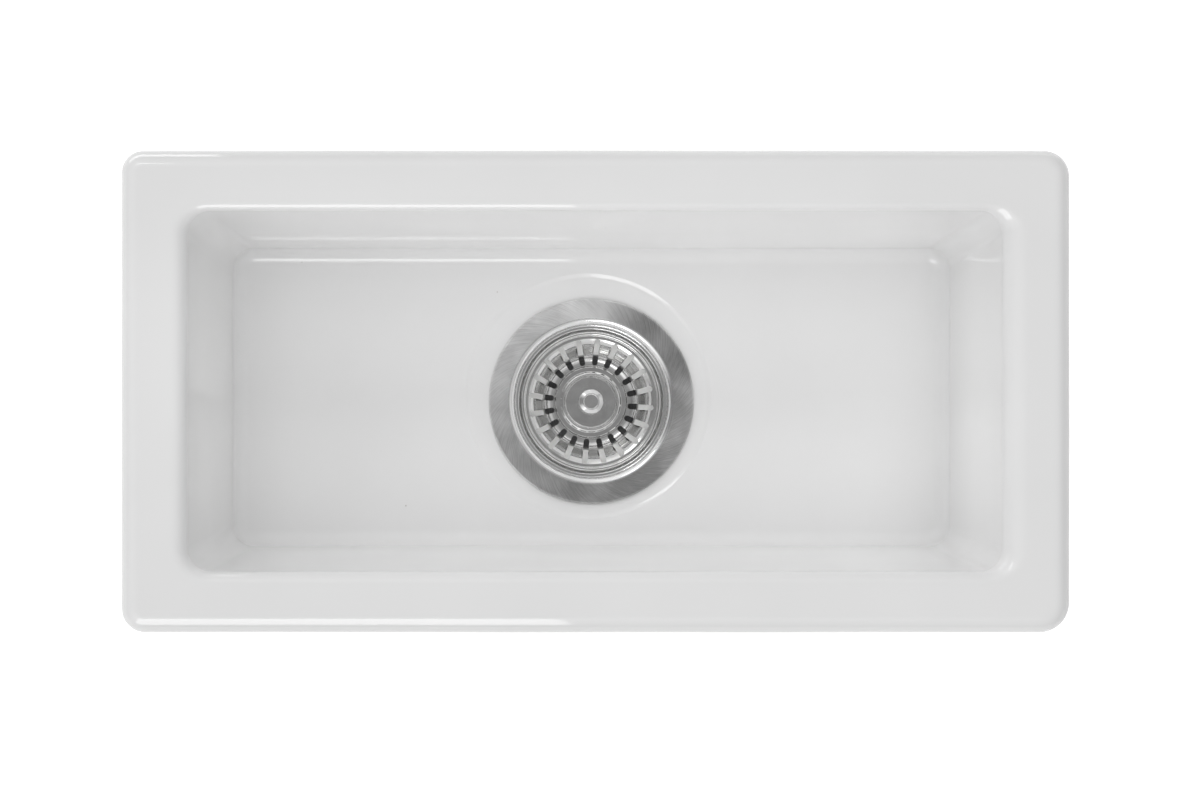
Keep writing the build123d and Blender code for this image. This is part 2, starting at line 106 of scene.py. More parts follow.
def rounded_rectangle(half_x, half_y, corners):
    """Plan points and outward directions round a rectangle, anticlockwise from its right side."""
    signs = ((1, 1), (-1, 1), (-1, -1), (1, -1))
    centres = [
        Vector((x * (half_x - radius), y * (half_y - radius)))
        for (x, y), radius in zip(signs, corners)
    ]
    points = []
    outward = []
    for index in range(4):
        for step in range(corner_steps + 1):
            angle = (index + step / corner_steps) * math.pi / 2
            way = Vector((math.cos(angle), math.sin(angle)))
            points.append(centres[index] + way * corners[index])
            outward.append(way)
        following = (index + 1) % 4
        side_end = centres[following] + way * corners[following]
        side_start = points[-1]
        side_steps = short_side_steps if index % 2 else long_side_steps
        for step in range(1, side_steps):
            points.append(side_start.lerp(side_end, step / side_steps))
            outward.append(way)
    return np.array(points), np.array(outward)


def sweep(first, last, steps):
    """Angles in radians from one angle in degrees to another, both ends included."""
    return [math.radians(first + (last - first) * step / steps) for step in range(steps + 1)]


def level(plan, height):
    """Loop of points from a plan and one height, or one height for each point."""
    return np.column_stack((plan, np.broadcast_to(height, len(plan))))


def ways_from(centre, plan):
    """Unit directions in plan from a centre to each point of a plan."""
    spread = plan - centre
    return spread / np.linalg.norm(spread, axis=1)[:, None]


opening_plan, outward = rounded_rectangle(opening_half_length, opening_half_width, (bowl_corner,) * 4)
wall_lean = bowl_depth * math.tan(bowl_draft)
foot_plan, _ = rounded_rectangle(
    opening_half_length - wall_lean, opening_half_width - wall_lean, (bowl_corner,) * 4
)
rim_plan, _ = rounded_rectangle(half_length, half_width, rim_corners)
shell_lean = (shell_top_z - base_z) * math.tan(shell_draft)
shell_top_plan, _ = rounded_rectangle(
    half_length - shell_step, half_width - shell_step, (shell_corner,) * 4
)
shell_base_plan, _ = rounded_rectangle(
    half_length - shell_step - shell_lean, half_width - shell_step - shell_lean, (shell_corner,) * 4
)


def inner_wall(height):
    """Plan of the bowl's drafted wall at a height, or at one height for each point."""
    share = np.broadcast_to(-height / bowl_depth, len(opening_plan))[:, None]
    return opening_plan + (foot_plan - opening_plan) * share


def shell_wall(height):
    """Plan of the drafted outside of the casting at a height."""
    lean = shell_base_plan - shell_top_plan
    return shell_top_plan + lean * (shell_top_z - height) / (shell_top_z - base_z)


def floor_height(plan):
    """Height of the floor, a shallow cone round the recess."""
    away = np.linalg.norm(plan - recess_centre, axis=1)
    return -bowl_depth + (away - recess_radius) * math.tan(floor_fall)


def between(first, last, shares):
    """Loops on the straight way from one loop to another, one at each share."""
    return [first + (last - first) * share for share in shares]


def bowl_section():
    """Every loop of the casting in turn: hole, recess, floor, wall, lip, rim, shell and underside."""
    from_hole = ways_from(waste_axis, foot_plan)
    from_recess = ways_from(recess_centre, foot_plan)
    loops = []
    for angle in sweep(90, 0, 4):
        radius = waste_hole_radius + waste_hole_round * (1 - math.cos(angle))
        height = base_z + waste_hole_round * (1 - math.sin(angle))
        loops.append(level(waste_axis + from_hole * radius, height))
    for angle in sweep(0, 90, 4):
        radius = waste_hole_radius + waste_hole_round * (1 - math.cos(angle))
        height = recess_z - waste_hole_round * (1 - math.sin(angle))
        loops.append(level(waste_axis + from_hole * radius, height))

    hole_edge = loops[-1]
    flat_edge = level(waste_axis + from_hole * seating_radius, recess_z)
    loops += between(hole_edge, flat_edge, (0.05, 0.35, 0.7, 0.95, 1))
    seating_lip = level(waste_axis + from_hole * seating_radius, seating_lip_z)
    loops += between(flat_edge, seating_lip, (0.05, 0.5, 0.75))
    dish_foot = level(waste_axis + from_hole * (seating_radius + 0.4 * mm), seating_lip_z)
    cone_foot_radius = recess_radius - recess_edge_width - recess_cone_width
    cone_foot_z = -bowl_depth - recess_cone_depth
    dish_edge = level(recess_centre + from_recess * cone_foot_radius, cone_foot_z)
    for share in (0, 0.08, 0.2, 0.35, 0.5, 0.65, 0.8, 0.92):
        ring = dish_foot + (dish_edge - dish_foot) * share
        ring[:, 2] = seating_lip_z + (cone_foot_z - seating_lip_z) * share ** 2
        loops.append(ring)
    for share in (0, 0.15, 0.35, 0.55, 0.75, 0.9, 1):
        radius = cone_foot_radius + recess_cone_width * share
        rise = (recess_cone_depth - 0.12 * mm) * share * (0.87 + 0.13 * share)
        loops.append(level(recess_centre + from_recess * radius, cone_foot_z + rise))
    for share in (0.25, 0.5, 0.75, 1):
        radius = recess_radius - recess_edge_width * (1 - share)
        height = -bowl_depth - 0.12 * mm * (1 - share) ** 2
        loops.append(level(recess_centre + from_recess * radius, height))

    wall_gap = foot_round / math.cos(bowl_draft)
    floor_edge = inner_wall(foot_round - bowl_depth) - outward * wall_gap
    floor_edge_z = floor_height(floor_edge)
    recess_edge = loops[-1][:, :2]
    for share in (0.02, 0.07, 0.15, 0.25, 0.35, 0.45, 0.55, 0.65, 0.75, 0.85, 0.93, 0.98):
        plan = recess_edge + (floor_edge - recess_edge) * share
        loops.append(level(plan, floor_height(plan)))
    foot_centre_z = floor_edge_z + foot_round
    for angle in sweep(-90, -math.degrees(bowl_draft), 12):
        plan = inner_wall(foot_centre_z) - outward * (wall_gap - foot_round * math.cos(angle))
        loops.append(level(plan, foot_centre_z + foot_round * math.sin(angle)))

    wall_foot_z = loops[-1][:, 2]
    sides = np.maximum(np.column_stack((outward, -outward)), 0) ** 2
    lip_round = sides @ np.array(lip_rounds)
    lip_start_z = -lip_round * (1 - math.sin(bowl_draft))
    for share in (0.01, 0.04, 0.1, 0.18, 0.26, 0.34, 0.42, 0.5, 0.58, 0.66, 0.74, 0.82, 0.9, 0.96, 0.99):
        height = wall_foot_z + (lip_start_z - wall_foot_z) * share
        loops.append(level(inner_wall(height), height))
    lip_reach = lip_round * (1 - math.sin(bowl_draft)) / math.cos(bowl_draft)
    for angle in sweep(math.degrees(bowl_draft), 90, 14):
        height = -lip_round * (1 - math.sin(angle))
        reach = lip_reach - lip_round * math.cos(angle) - height * math.tan(bowl_draft)
        loops.append(level(inner_wall(height) + outward * reach[:, None], height))

    rim_flat_edge = level(rim_plan - outward * rim_edge_round, 0)
    loops += between(loops[-1], rim_flat_edge, (0.03, 0.12, 0.3, 0.5, 0.7, 0.88, 0.97))
    for angle in sweep(0, 90, 14):
        plan = rim_plan - outward * rim_edge_round * (1 - math.sin(angle))
        loops.append(level(plan, -rim_edge_round * (1 - math.cos(angle))))
    side_low_z = rim_under_round - rim_thickness
    for share in (0.05, 0.5, 0.95):
        loops.append(level(rim_plan, -rim_edge_round + (side_low_z + rim_edge_round) * share))
    for angle in sweep(0, 90, 6):
        plan = rim_plan - outward * rim_under_round * (1 - math.cos(angle))
        loops.append(level(plan, side_low_z - rim_under_round * math.sin(angle)))

    step_reach = step_round * (1 - math.sin(shell_draft)) / math.cos(shell_draft)
    step_edge = level(shell_wall(-rim_thickness) + outward * step_reach, -rim_thickness)
    loops += between(loops[-1], step_edge, (0.1, 0.5, 0.9))
    for angle in sweep(90, math.degrees(shell_draft), 7):
        height = -rim_thickness - step_round * (1 - math.sin(angle))
        drop = height + rim_thickness
        reach = step_reach - step_round * math.cos(angle) - drop * math.tan(shell_draft)
        loops.append(level(shell_wall(height) + outward * reach, height))

    shell_start_z = loops[-1][0, 2]
    shell_end_z = base_z + shell_round * (1 - math.sin(shell_draft))
    for share in (0.01, 0.05, 0.12, 0.2, 0.3, 0.4, 0.5, 0.6, 0.7, 0.8, 0.88, 0.95, 0.99):
        height = shell_start_z + (shell_end_z - shell_start_z) * share
        loops.append(level(shell_wall(height), height))
    base_inset = shell_round * (1 - math.sin(shell_draft)) / math.cos(shell_draft)
    for angle in sweep(math.degrees(shell_draft), 90, 12):
        height = base_z + shell_round * (1 - math.sin(angle))
        reach = shell_round * math.cos(angle) - base_inset - (height - base_z) * math.tan(shell_draft)
        loops.append(level(shell_wall(height) + outward * reach, height))
    loops += between(loops[-1], loops[0], (0.02, 0.08, 0.2, 0.35, 0.5, 0.65, 0.8, 0.92, 0.98))
    return np.array(loops)


def ring_mesh(name, rows):
    """Closed mesh from rows of points, where rows and points both run right round."""
    count = len(rows)
    across = len(rows[0])
    mesh = bmesh.new()
    points = [[mesh.verts.new(point) for point in row] for row in rows]
    for row in range(count):
        here = points[row]
        ahead = points[(row + 1) % count]
        for step in range(across):
            beside = (step + 1) % across
            mesh.faces.new((here[step], ahead[step], ahead[beside], here[beside]))
    made = bpy.data.meshes.new(name)
    mesh.to_mesh(made)
    mesh.free()
    return made


def dressed(name, mesh, material, sharp_degrees=38):
    """Piece from a closed mesh: doubles merged, faces outward, smooth but for its sharp edges."""
    work = bmesh.new()
    work.from_mesh(mesh)
    bmesh.ops.remove_doubles(work, verts=work.verts, dist=0.002 * mm)
    bmesh.ops.dissolve_degenerate(work, edges=work.edges, dist=0.001 * mm)
    bmesh.ops.recalc_face_normals(work, faces=work.faces)
    for face in work.faces:
        face.smooth = True
        face.material_index = 0
    for edge in work.edges:
        edge.smooth = len(edge.link_faces) == 2 and edge.calc_face_angle(0) < math.radians(sharp_degrees)
    work.to_mesh(mesh)
    work.free()
    mesh.materials.clear()
    mesh.materials.append(material)
    piece = bpy.data.objects.new(name, mesh)
    bpy.context.scene.collection.objects.link(piece)
    return piece


def glaze_waves(mesh):
    """The glaze lies in faint waves over the hand-finished casting, but flat under the waste."""
    broad = 14
    close = 45
    broad_depth = 0.14 * mm
    close_depth = 0.012 * mm
    calm_reach = 10 * mm
    count = len(mesh.vertices)
    places = np.empty(count * 3)
    facing = np.empty(count * 3)
    mesh.vertices.foreach_get("co", places)
    mesh.vertices.foreach_get("normal", facing)
    places = places.reshape(-1, 3)
    facing = facing.reshape(-1, 3)
    for index, place in enumerate(places):
        from_waste = math.hypot(place[0] - waste_axis[0], place[1] - waste_axis[1])
        free = min(max((from_waste - recess_radius) / calm_reach, 0), 1)
        point = Vector(place)
        wave = broad_depth * (noise.noise(point * broad) - 0.5)
        wave += close_depth * (noise.noise(point * close) - 0.5)
        places[index] = place + facing[index] * min(wave, 0) * free
    mesh.vertices.foreach_set("co", places.ravel())
    mesh.update()


def add_node(tree, kind, inputs, output=0, **settings):
    """Adds a node to a tree, fills its inputs with values or links, and gives one of its outputs."""
    node = tree.nodes.new(kind)
    for setting, value in settings.items():
        setattr(node, setting, value)
    for socket, value in inputs.items():
        if isinstance(value, bpy.types.NodeSocket):
            tree.links.new(value, node.inputs[socket])
        else:
            node.inputs[socket].default_value = value
    return node.outputs[output]


def add_sum(tree, operation, first, second=0.0):
    """One sum in a tree, on two values or links."""
    return add_node(tree, "ShaderNodeMath", {0: first, 1: second}, operation=operation)


class Finish:
    """A procedural finish in the making: one shader, object coordinates and the nodes that vary it."""

    def __init__(self, name, sockets):
        self.material = bpy.data.materials.new(name)
        self.material.use_nodes = True
        self.tree = self.material.node_tree
        self.shader = self.tree.nodes["Principled BSDF"]
        for socket, value in sockets.items():
            self.shader.inputs[socket].default_value = value
        self.place = self.add("ShaderNodeTexCoord", {}, "Object")
        self.normal = None

    def add(self, kind, inputs, output=0, **settings):
        """Adds a node to the finish and gives one of its outputs."""
        return add_node(self.tree, kind, inputs, output, **settings)

    def maths(self, operation, first, second=0.0):
        """One sum on two values or links."""
        return add_sum(self.tree, operation, first, second)

    def clouds(self, scale, detail=2.0, place=None):
        """Soft noise between 0 and 1."""
        inputs = {"Vector": place or self.place, "Scale": scale, "Detail": detail}
        return self.add("ShaderNodeTexNoise", inputs, "Fac")

    def spread(self, value, low, high, to_low=0.0, to_high=1.0):
        """A value's range from low to high turned into another range, and held there."""
        inputs = {"Value": value, "From Min": low, "From Max": high, "To Min": to_low, "To Max": to_high}
        return self.add("ShaderNodeMapRange", inputs)

    def blend(self, share, first, second):
        """Colour between two colours, which sockets 6 and 7 of the mix node take."""
        colours = [
            colour if isinstance(colour, bpy.types.NodeSocket) else (*colour, 1)
            for colour in (first, second)
        ]
        inputs = {0: share, 6: colours[0], 7: colours[1]}
        return self.add("ShaderNodeMix", inputs, 2, data_type="RGBA")

    def bump(self, height, distance, strength=1.0):
        """Lays one more relief, in metres, over those already there."""
        inputs = {"Height": height, "Distance": distance, "Strength": strength}
        if self.normal:
            inputs["Normal"] = self.normal
        self.normal = self.add("ShaderNodeBump", inputs)

    def join(self, socket, value):
        """Links a value that varies to one of the shader's inputs."""
        self.tree.links.new(value, self.shader.inputs[socket])

    def done(self, colour=None, roughness=None):
        """Joins what varies to the shader and gives the material."""
        for socket, value in (("Base Color", colour), ("Roughness", roughness), ("Normal", self.normal)):
            if value:
                self.join(socket, value)
        return self.material


def glazed_fireclay():
    """White glaze with faint clouds, pinhead specks and a soft peel, over cream biscuit underneath."""
    glaze_white = (0.925, 0.925, 0.925)
    glaze_shade = (0.9, 0.9, 0.9)
    speck_grey = (0.5, 0.48, 0.44)
    biscuit_cream = (0.66, 0.6, 0.5)
    biscuit_shade = (0.5, 0.44, 0.35)
    biscuit_roughness = 0.85
    glaze_line_z = base_z + 7 * mm

    finish = Finish("glazed_fireclay", {"IOR": 1.56})
    clouds = finish.clouds(9, 3)
    glaze = finish.blend(finish.spread(clouds, 0.35, 0.65), glaze_shade, glaze_white)
    cells = finish.add("ShaderNodeTexVoronoi", {"Vector": finish.place, "Scale": 55}, "Distance")
    chosen = finish.spread(finish.clouds(31, 1), 0.62, 0.64)
    speck = finish.maths("MULTIPLY", finish.spread(cells, 0.035, 0.02), chosen)
    glaze = finish.blend(finish.maths("MULTIPLY", speck, 0.6), glaze, speck_grey)

    height = finish.add("ShaderNodeSeparateXYZ", {"Vector": finish.place}, "Z")
    ragged = finish.maths("MULTIPLY", finish.clouds(40, 3), 5 * mm)
    line = finish.maths("SUBTRACT", height, ragged)
    bare = finish.spread(line, glaze_line_z - 2.5 * mm, glaze_line_z - 3.5 * mm)
    grains = finish.clouds(900, 4)
    biscuit = finish.blend(finish.spread(grains, 0.35, 0.7), biscuit_shade, biscuit_cream)
    biscuit = finish.blend(finish.spread(finish.clouds(22, 4), 0.4, 0.7), biscuit, biscuit_cream)

    gloss = finish.spread(finish.clouds(60, 4), 0.3, 0.7, 0.02, 0.05)
    roughness = finish.add("ShaderNodeMix", {0: bare, 2: gloss, 3: biscuit_roughness})
    finish.bump(finish.clouds(70, 2), 0.012 * mm, 0.25)
    finish.bump(finish.maths("MULTIPLY", grains, bare), 0.25 * mm, 0.8)
    return finish.done(finish.blend(bare, glaze, biscuit), roughness)


casting_mesh = ring_mesh("sink_bowl_glazed", bowl_section())
glaze_waves(casting_mesh)
sink_bowl_glazed = dressed("sink_bowl_glazed", casting_mesh, glazed_fireclay())
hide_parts("sink_bowl")
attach(sink_bowl_glazed, "sink")


# The waste body is one moulding in white plastic: a flange and stepped neck that carry the steel
# ring, a dish with the plug's seat, a throat, and an outlet with a thread for the trap's nut.
# It hangs through the hole in the base, and the thread on its neck takes the backnut.
flange_top_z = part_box("flange_ring")[1].z
flange_sheet = 0.7 * mm
outlet_end_z = waste_low.z
neck_end_z = outlet_end_z + 33 * mm
body_flange_z = recess_z + 1.2 * mm
body_top_z = flange_top_z - flange_sheet
seat_top_z = -185.75 * mm
seat_end_z = seat_top_z - 4 * mm
throat_end_z = seat_end_z - 10 * mm
dish_slope = math.tan(math.radians(28))
dish_thickness = 3 * mm
dish_radius = 38.4 * mm
dish_wall_radius = 40 * mm
body_flange_radius = 55 * mm
ring_ledge_radius = 42.1 * mm
ring_ledge_z = flange_top_z - 5.3 * mm
body_mouth_radius = 43 * mm
body_mouth_z = flange_top_z - 3.7 * mm
neck_radius = 43.5 * mm
neck_thread_depth = 1.3 * mm
neck_thread_pitch = 4 * mm
skirt_inner_radius = 40.3 * mm
throat_outer_radius = 28.5 * mm
seat_top_radius = 26.5 * mm
seat_end_radius = 24 * mm
outlet_bore_radius = 19.8 * mm
outlet_thread_radius = 23.9 * mm
outlet_thread_depth = 1.1 * mm
outlet_thread_pitch = 3.2 * mm
outlet_thread_top_z = outlet_end_z + 18 * mm
round_steps = 6


def rounded_line(corners, rounds, closed=False):
    """Points along a line of (radius, height) corners, with an arc at each corner that has a round."""
    corners = [Vector(corner) for corner in corners]
    count = len(corners)
    setbacks = []
    for index, bend in enumerate(rounds):
        before = corners[index - 1] - corners[index]
        after = corners[(index + 1) % count] - corners[index]
        inner = bool(closed or 0 < index < count - 1)
        setbacks.append(bend / math.tan(before.angle(after) / 2) if inner else 0)
    points = []
    for index, (corner, bend) in enumerate(zip(corners, rounds)):
        if not closed and index in (0, count - 1):
            points.append(corner)
            continue
        back = corners[index - 1] - corner
        on = corners[(index + 1) % count] - corner
        free_back = back.length - setbacks[index] - setbacks[index - 1]
        free_on = on.length - setbacks[index] - setbacks[(index + 1) % count]
        back.normalize()
        on.normalize()
        half = back.angle(on) / 2
        hold = 0.2 * bend + 0.04 * mm
        arc_start = corner + back * setbacks[index]
        arc_end = corner + on * setbacks[index]
        centre = corner + (back + on).normalized() * (bend / math.sin(half))
        turn = math.pi - 2 * half
        points.append(arc_start + back * min(hold, 0.3 * max(free_back, 0)))
        for step in range(round_steps + 1):
            share = step / round_steps
            spoke = (arc_start - centre) * math.sin((1 - share) * turn)
            spoke += (arc_end - centre) * math.sin(share * turn)
            points.append(centre + spoke / math.sin(turn) if bend else corner.copy())
        points.append(arc_end + on * min(hold, 0.3 * max(free_on, 0)))
    return points


def spun_mesh(name, outline, columns):
    """Closed mesh of an outline of (radius, height) points, spun about the waste's axis."""
    rows = []
    for column in range(columns):
        angle = 2 * math.pi * column / columns
        rows.append([
            (waste_axis[0] + point.x * math.cos(angle), waste_axis[1] + point.x * math.sin(angle), point.y)
            for point in outline
        ])
    return ring_mesh(name, rows)


def turned_mesh(name, corners, columns=160):
    """Closed mesh of a round piece about the waste's axis, from (radius, height, round) corners."""
    places = [corner[:2] for corner in corners]
    rounds = [corner[2] for corner in corners]
    return spun_mesh(name, rounded_line(places, rounds, closed=True), columns)


def dish_height(radius):
    """Height of the dish's sloping floor at a radius."""
    return seat_top_z + (radius - seat_top_radius) * dish_slope


def node_tree(name, inputs):
    """Empty geometry node tree with named inputs, each a name, a socket kind and a value."""
    tree = bpy.data.node_groups.new(name, "GeometryNodeTree")
    tree.interface.new_socket("Geometry", in_out="INPUT", socket_type="NodeSocketGeometry")
    for label, kind, value in inputs:
        socket = tree.interface.new_socket(label, in_out="INPUT", socket_type=kind)
        if value is not None:
            socket.default_value = value
    tree.interface.new_socket("Geometry", in_out="OUTPUT", socket_type="NodeSocketGeometry")
    return tree


def close_tree(tree, geometry, material):
    """Ends a tree in real geometry with its material set."""
    real = add_node(tree, "GeometryNodeRealizeInstances", {"Geometry": geometry})
    painted = add_node(tree, "GeometryNodeSetMaterial", {"Geometry": real, "Material": material})
    tree.links.new(painted, tree.nodes.new("NodeGroupOutput").inputs[0])


def make_thread_tree():
    """Helical ridge of a moulded or cut thread, which runs out softly at both ends."""
    root_share = 0.86
    crest_share = 0.2
    run_out_turns = 0.35
    run_out_scale = 0.05
    tree = node_tree("thread_ridge", (
        ("Root Radius", "NodeSocketFloat", 0.02),
        ("Depth", "NodeSocketFloat", 0.001),
        ("Pitch", "NodeSocketFloat", 0.003),
        ("Length", "NodeSocketFloat", 0.02),
        ("Steps Round", "NodeSocketInt", 72),
        ("Place", "NodeSocketVector", None),
        ("Material", "NodeSocketMaterial", None),
    ))
    given = tree.nodes.new("NodeGroupInput").outputs
    turns = add_sum(tree, "DIVIDE", given["Length"], given["Pitch"])
    helix = add_node(tree, "GeometryNodeCurveSpiral", {
        "Resolution": given["Steps Round"],
        "Rotations": turns,
        "Start Radius": given["Root Radius"],
        "End Radius": given["Root Radius"],
        "Height": given["Length"],
    })
    upright = add_node(tree, "GeometryNodeSetCurveNormal", {"Curve": helix}, mode="Z_UP")
    along = add_node(tree, "GeometryNodeSplineParameter", {}, "Factor")
    from_middle = add_sum(tree, "ABSOLUTE", add_sum(tree, "SUBTRACT", along, 0.5))
    turns_left = add_sum(tree, "MULTIPLY", add_sum(tree, "SUBTRACT", 0.5, from_middle), turns)
    fade = add_node(tree, "ShaderNodeMapRange", {
        "Value": turns_left,
        "From Max": run_out_turns,
        "To Min": run_out_scale,
    })
    flank = add_node(tree, "GeometryNodeCurvePrimitiveQuadrilateral", {
        "Height": add_sum(tree, "MULTIPLY", given["Depth"], 2.0),
        "Bottom Width": add_sum(tree, "MULTIPLY", given["Pitch"], root_share),
        "Top Width": add_sum(tree, "MULTIPLY", given["Pitch"], crest_share),
        "Offset": 0.0,
    }, mode="TRAPEZOID")
    turned_flank = add_node(tree, "GeometryNodeTransform", {
        "Geometry": flank,
        "Rotation": (0, 0, -math.pi / 2),
    })
    ridge = add_node(tree, "GeometryNodeCurveToMesh", {
        "Curve": upright,
        "Profile Curve": turned_flank,
        "Scale": fade,
        "Fill Caps": True,
    })
    placed = add_node(tree, "GeometryNodeTransform", {"Geometry": ridge, "Translation": given["Place"]})
    close_tree(tree, placed, given["Material"])
    return tree


def make_repeat_tree():
    """Copies of one sector, plate or lug, turned evenly round an upright axis."""
    tree = node_tree("repeat_round", (
        ("Count", "NodeSocketInt", 8),
        ("First Angle", "NodeSocketFloat", 0.0),
        ("Axis Place", "NodeSocketVector", None),
        ("Material", "NodeSocketMaterial", None),
    ))
    given = tree.nodes.new("NodeGroupInput").outputs
    points = add_node(tree, "GeometryNodePoints", {"Count": given["Count"], "Position": given["Axis Place"]})
    index = add_node(tree, "GeometryNodeInputIndex", {})
    turn = add_sum(tree, "MULTIPLY", index, add_sum(tree, "DIVIDE", 2 * math.pi, given["Count"]))
    euler = add_node(tree, "ShaderNodeCombineXYZ", {"Z": add_sum(tree, "ADD", turn, given["First Angle"])})
    copies = add_node(tree, "GeometryNodeInstanceOnPoints", {
        "Points": points,
        "Instance": given["Geometry"],
        "Rotation": add_node(tree, "FunctionNodeEulerToRotation", {"Euler": euler}),
    })
    close_tree(tree, copies, given["Material"])
    return tree


def grown(name, tree, values, start_mesh=None):
    """Plain mesh that a tree makes, from a starting mesh where it takes one."""
    start_mesh = start_mesh or bpy.data.meshes.new(name)
    start = bpy.data.objects.new(name, start_mesh)
    bpy.context.scene.collection.objects.link(start)
    modifier = start.modifiers.new(tree.name, "NODES")
    modifier.node_group = tree
    for item in tree.interface.items_tree:
        if item.in_out == "INPUT" and item.name in values:
            modifier[item.identifier] = values[item.name]
    graph = bpy.context.evaluated_depsgraph_get()
    made = bpy.data.meshes.new_from_object(start.evaluated_get(graph), depsgraph=graph)
    bpy.data.objects.remove(start)
    return made


thread_tree = make_thread_tree()


def thread_mesh(name, crest_radius, depth, pitch, start_z, length, steps_round, material):
    """Plain mesh of one thread's ridge about the waste's axis."""
    return grown(name, thread_tree, {
        "Root Radius": crest_radius - depth,
        "Depth": depth,
        "Pitch": pitch,
        "Length": length,
        "Steps Round": steps_round,
        "Place": (*waste_axis, start_z),
        "Material": material,
    })


def moulded_plastic(name, colour, shade, roughness, clouding=26):
    """Satin moulded plastic with faint flow clouds and a fine spark-eroded skin."""
    finish = Finish(name, {"IOR": 1.49})
    clouds = finish.spread(finish.clouds(clouding, 3), 0.3, 0.7)
    finish.bump(finish.clouds(1400, 3), 0.02 * mm, 0.35)
    worn = finish.spread(finish.clouds(90, 4), 0.35, 0.7, roughness - 0.07, roughness + 0.08)
    return finish.done(finish.blend(clouds, shade, colour), worn)


white_plastic = moulded_plastic("white_waste_plastic", (0.88, 0.88, 0.87), (0.83, 0.83, 0.82), 0.34)
waste_mesh = turned_mesh("waste_moulding", [
    (46.3 * mm, body_top_z, 0.2 * mm),
    (body_flange_radius, body_top_z, 0.4 * mm),
    (body_flange_radius, body_flange_z, 0.4 * mm),
    (neck_radius - neck_thread_depth, body_flange_z, 0.8 * mm),
    (neck_radius - neck_thread_depth, neck_end_z, 0.5 * mm),
    (skirt_inner_radius, neck_end_z, 0.5 * mm),
    (skirt_inner_radius, dish_height(skirt_inner_radius) - dish_thickness, 1 * mm),
    (throat_outer_radius, dish_height(throat_outer_radius) - dish_thickness, 1 * mm),
    (25.9 * mm, neck_end_z, 2 * mm),
    (22.9 * mm, neck_end_z - 3 * mm, 1.5 * mm),
    (outlet_thread_radius - outlet_thread_depth, outlet_thread_top_z, 0),
    (outlet_thread_radius - outlet_thread_depth, outlet_end_z, 0.6 * mm),
    (outlet_bore_radius, outlet_end_z, 0.6 * mm),
    (outlet_bore_radius, throat_end_z, 2 * mm),
    (seat_end_radius, seat_end_z, 1 * mm),
    (seat_top_radius, seat_top_z, 0.8 * mm),
    (dish_radius, dish_height(dish_radius), 1.2 * mm),
    (dish_wall_radius, dish_height(dish_radius) + 3 * mm, 1 * mm),
    (dish_wall_radius, ring_ledge_z, 0.15 * mm),
    (ring_ledge_radius, ring_ledge_z, 0.1 * mm),
    (ring_ledge_radius, body_mouth_z, 0.15 * mm),
    (body_mouth_radius, body_mouth_z, 0.15 * mm),
    (body_mouth_radius, flange_top_z - 2 * mm, 0.5 * mm),
])
waste_moulding = dressed("waste_moulding", waste_mesh, white_plastic)
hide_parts("waste_body")
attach(waste_moulding, "sink")

thread_places = (
    ("neck_thread", neck_radius, neck_thread_depth, neck_thread_pitch, neck_end_z + 1.5 * mm, 33 * mm),
    (
        "outlet_thread", outlet_thread_radius, outlet_thread_depth, outlet_thread_pitch,
        outlet_end_z + 1.8 * mm, 14.5 * mm,
    ),
)
for name, *sizes in thread_places:
    ridge_mesh = thread_mesh(name, *sizes, 96, white_plastic)
    ridge = dressed(name, ridge_mesh, white_plastic, 30)
    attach(ridge, "sink")


# Six ribs stiffen the hollow round the throat, and three arms hold the guide post's socket in it.
# All of them are part of the same white moulding, drawn straight down out of the mould.
pocket_rib_thickness = 2 * mm
arm_thickness = 2.2 * mm
hub_top_z = -192.8 * mm
hub_end_z = -205.3 * mm
hub_radius = 8.6 * mm
socket_radius = 6 * mm
plate_edge_ease = 0.25 * mm

repeat_tree = make_repeat_tree()


def repeated_mesh(name, count, first_angle, material, sector_mesh):
    """Plain mesh of a sector, plate or lug repeated round the waste's axis."""
    return grown(name, repeat_tree, {
        "Count": count,
        "First Angle": first_angle,
        "Axis Place": (*waste_axis, 0),
        "Material": material,
    }, sector_mesh)


def upright_plate(name, outline, thickness):
    """Plate standing on a radius, from a line of (radius, height) points, with its edges eased."""
    work = bmesh.new()
    sides = []
    for side in (-1, 1):
        sides.append([work.verts.new((radius, side * thickness / 2, height)) for radius, height in outline])
    work.faces.new(sides[0])
    work.faces.new(list(reversed(sides[1])))
    for step in range(len(outline)):
        beside = (step + 1) % len(outline)
        work.faces.new((sides[0][step], sides[1][step], sides[1][beside], sides[0][beside]))
    bmesh.ops.recalc_face_normals(work, faces=work.faces)
    bmesh.ops.bevel(work, geom=work.edges[:], offset=plate_edge_ease, segments=2, affect="EDGES")
    made = bpy.data.meshes.new(name)
    work.to_mesh(made)
    work.free()
    return made


rib_low_z = neck_end_z + 3 * mm
arm_low_z = hub_top_z - 8.5 * mm
arm_top_z = hub_top_z - 1.5 * mm
rib_outline = (
    (24.4 * mm, rib_low_z),
    (skirt_inner_radius + 1 * mm, rib_low_z),
    (skirt_inner_radius + 1 * mm, dish_height(skirt_inner_radius) - 2 * mm),
    (throat_outer_radius - 1 * mm, dish_height(throat_outer_radius) - 2 * mm),
)
arm_outline = (
    (hub_radius - 1 * mm, arm_low_z),
    (outlet_bore_radius + 1 * mm, arm_low_z),
    (seat_end_radius - 0.6 * mm, arm_top_z),
    (hub_radius - 1 * mm, arm_top_z),
)
moulded_plates = (
    ("pocket_ribs", rib_outline, pocket_rib_thickness, 6, 0),
    ("socket_arms", arm_outline, arm_thickness, 3, math.pi / 3),
)
for name, outline, thickness, count, first_angle in moulded_plates:
    one_plate = upright_plate(name, outline, thickness)
    plates_mesh = repeated_mesh(name, count, first_angle, white_plastic, one_plate)
    plates = dressed(name, plates_mesh, white_plastic)
    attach(plates, "sink")

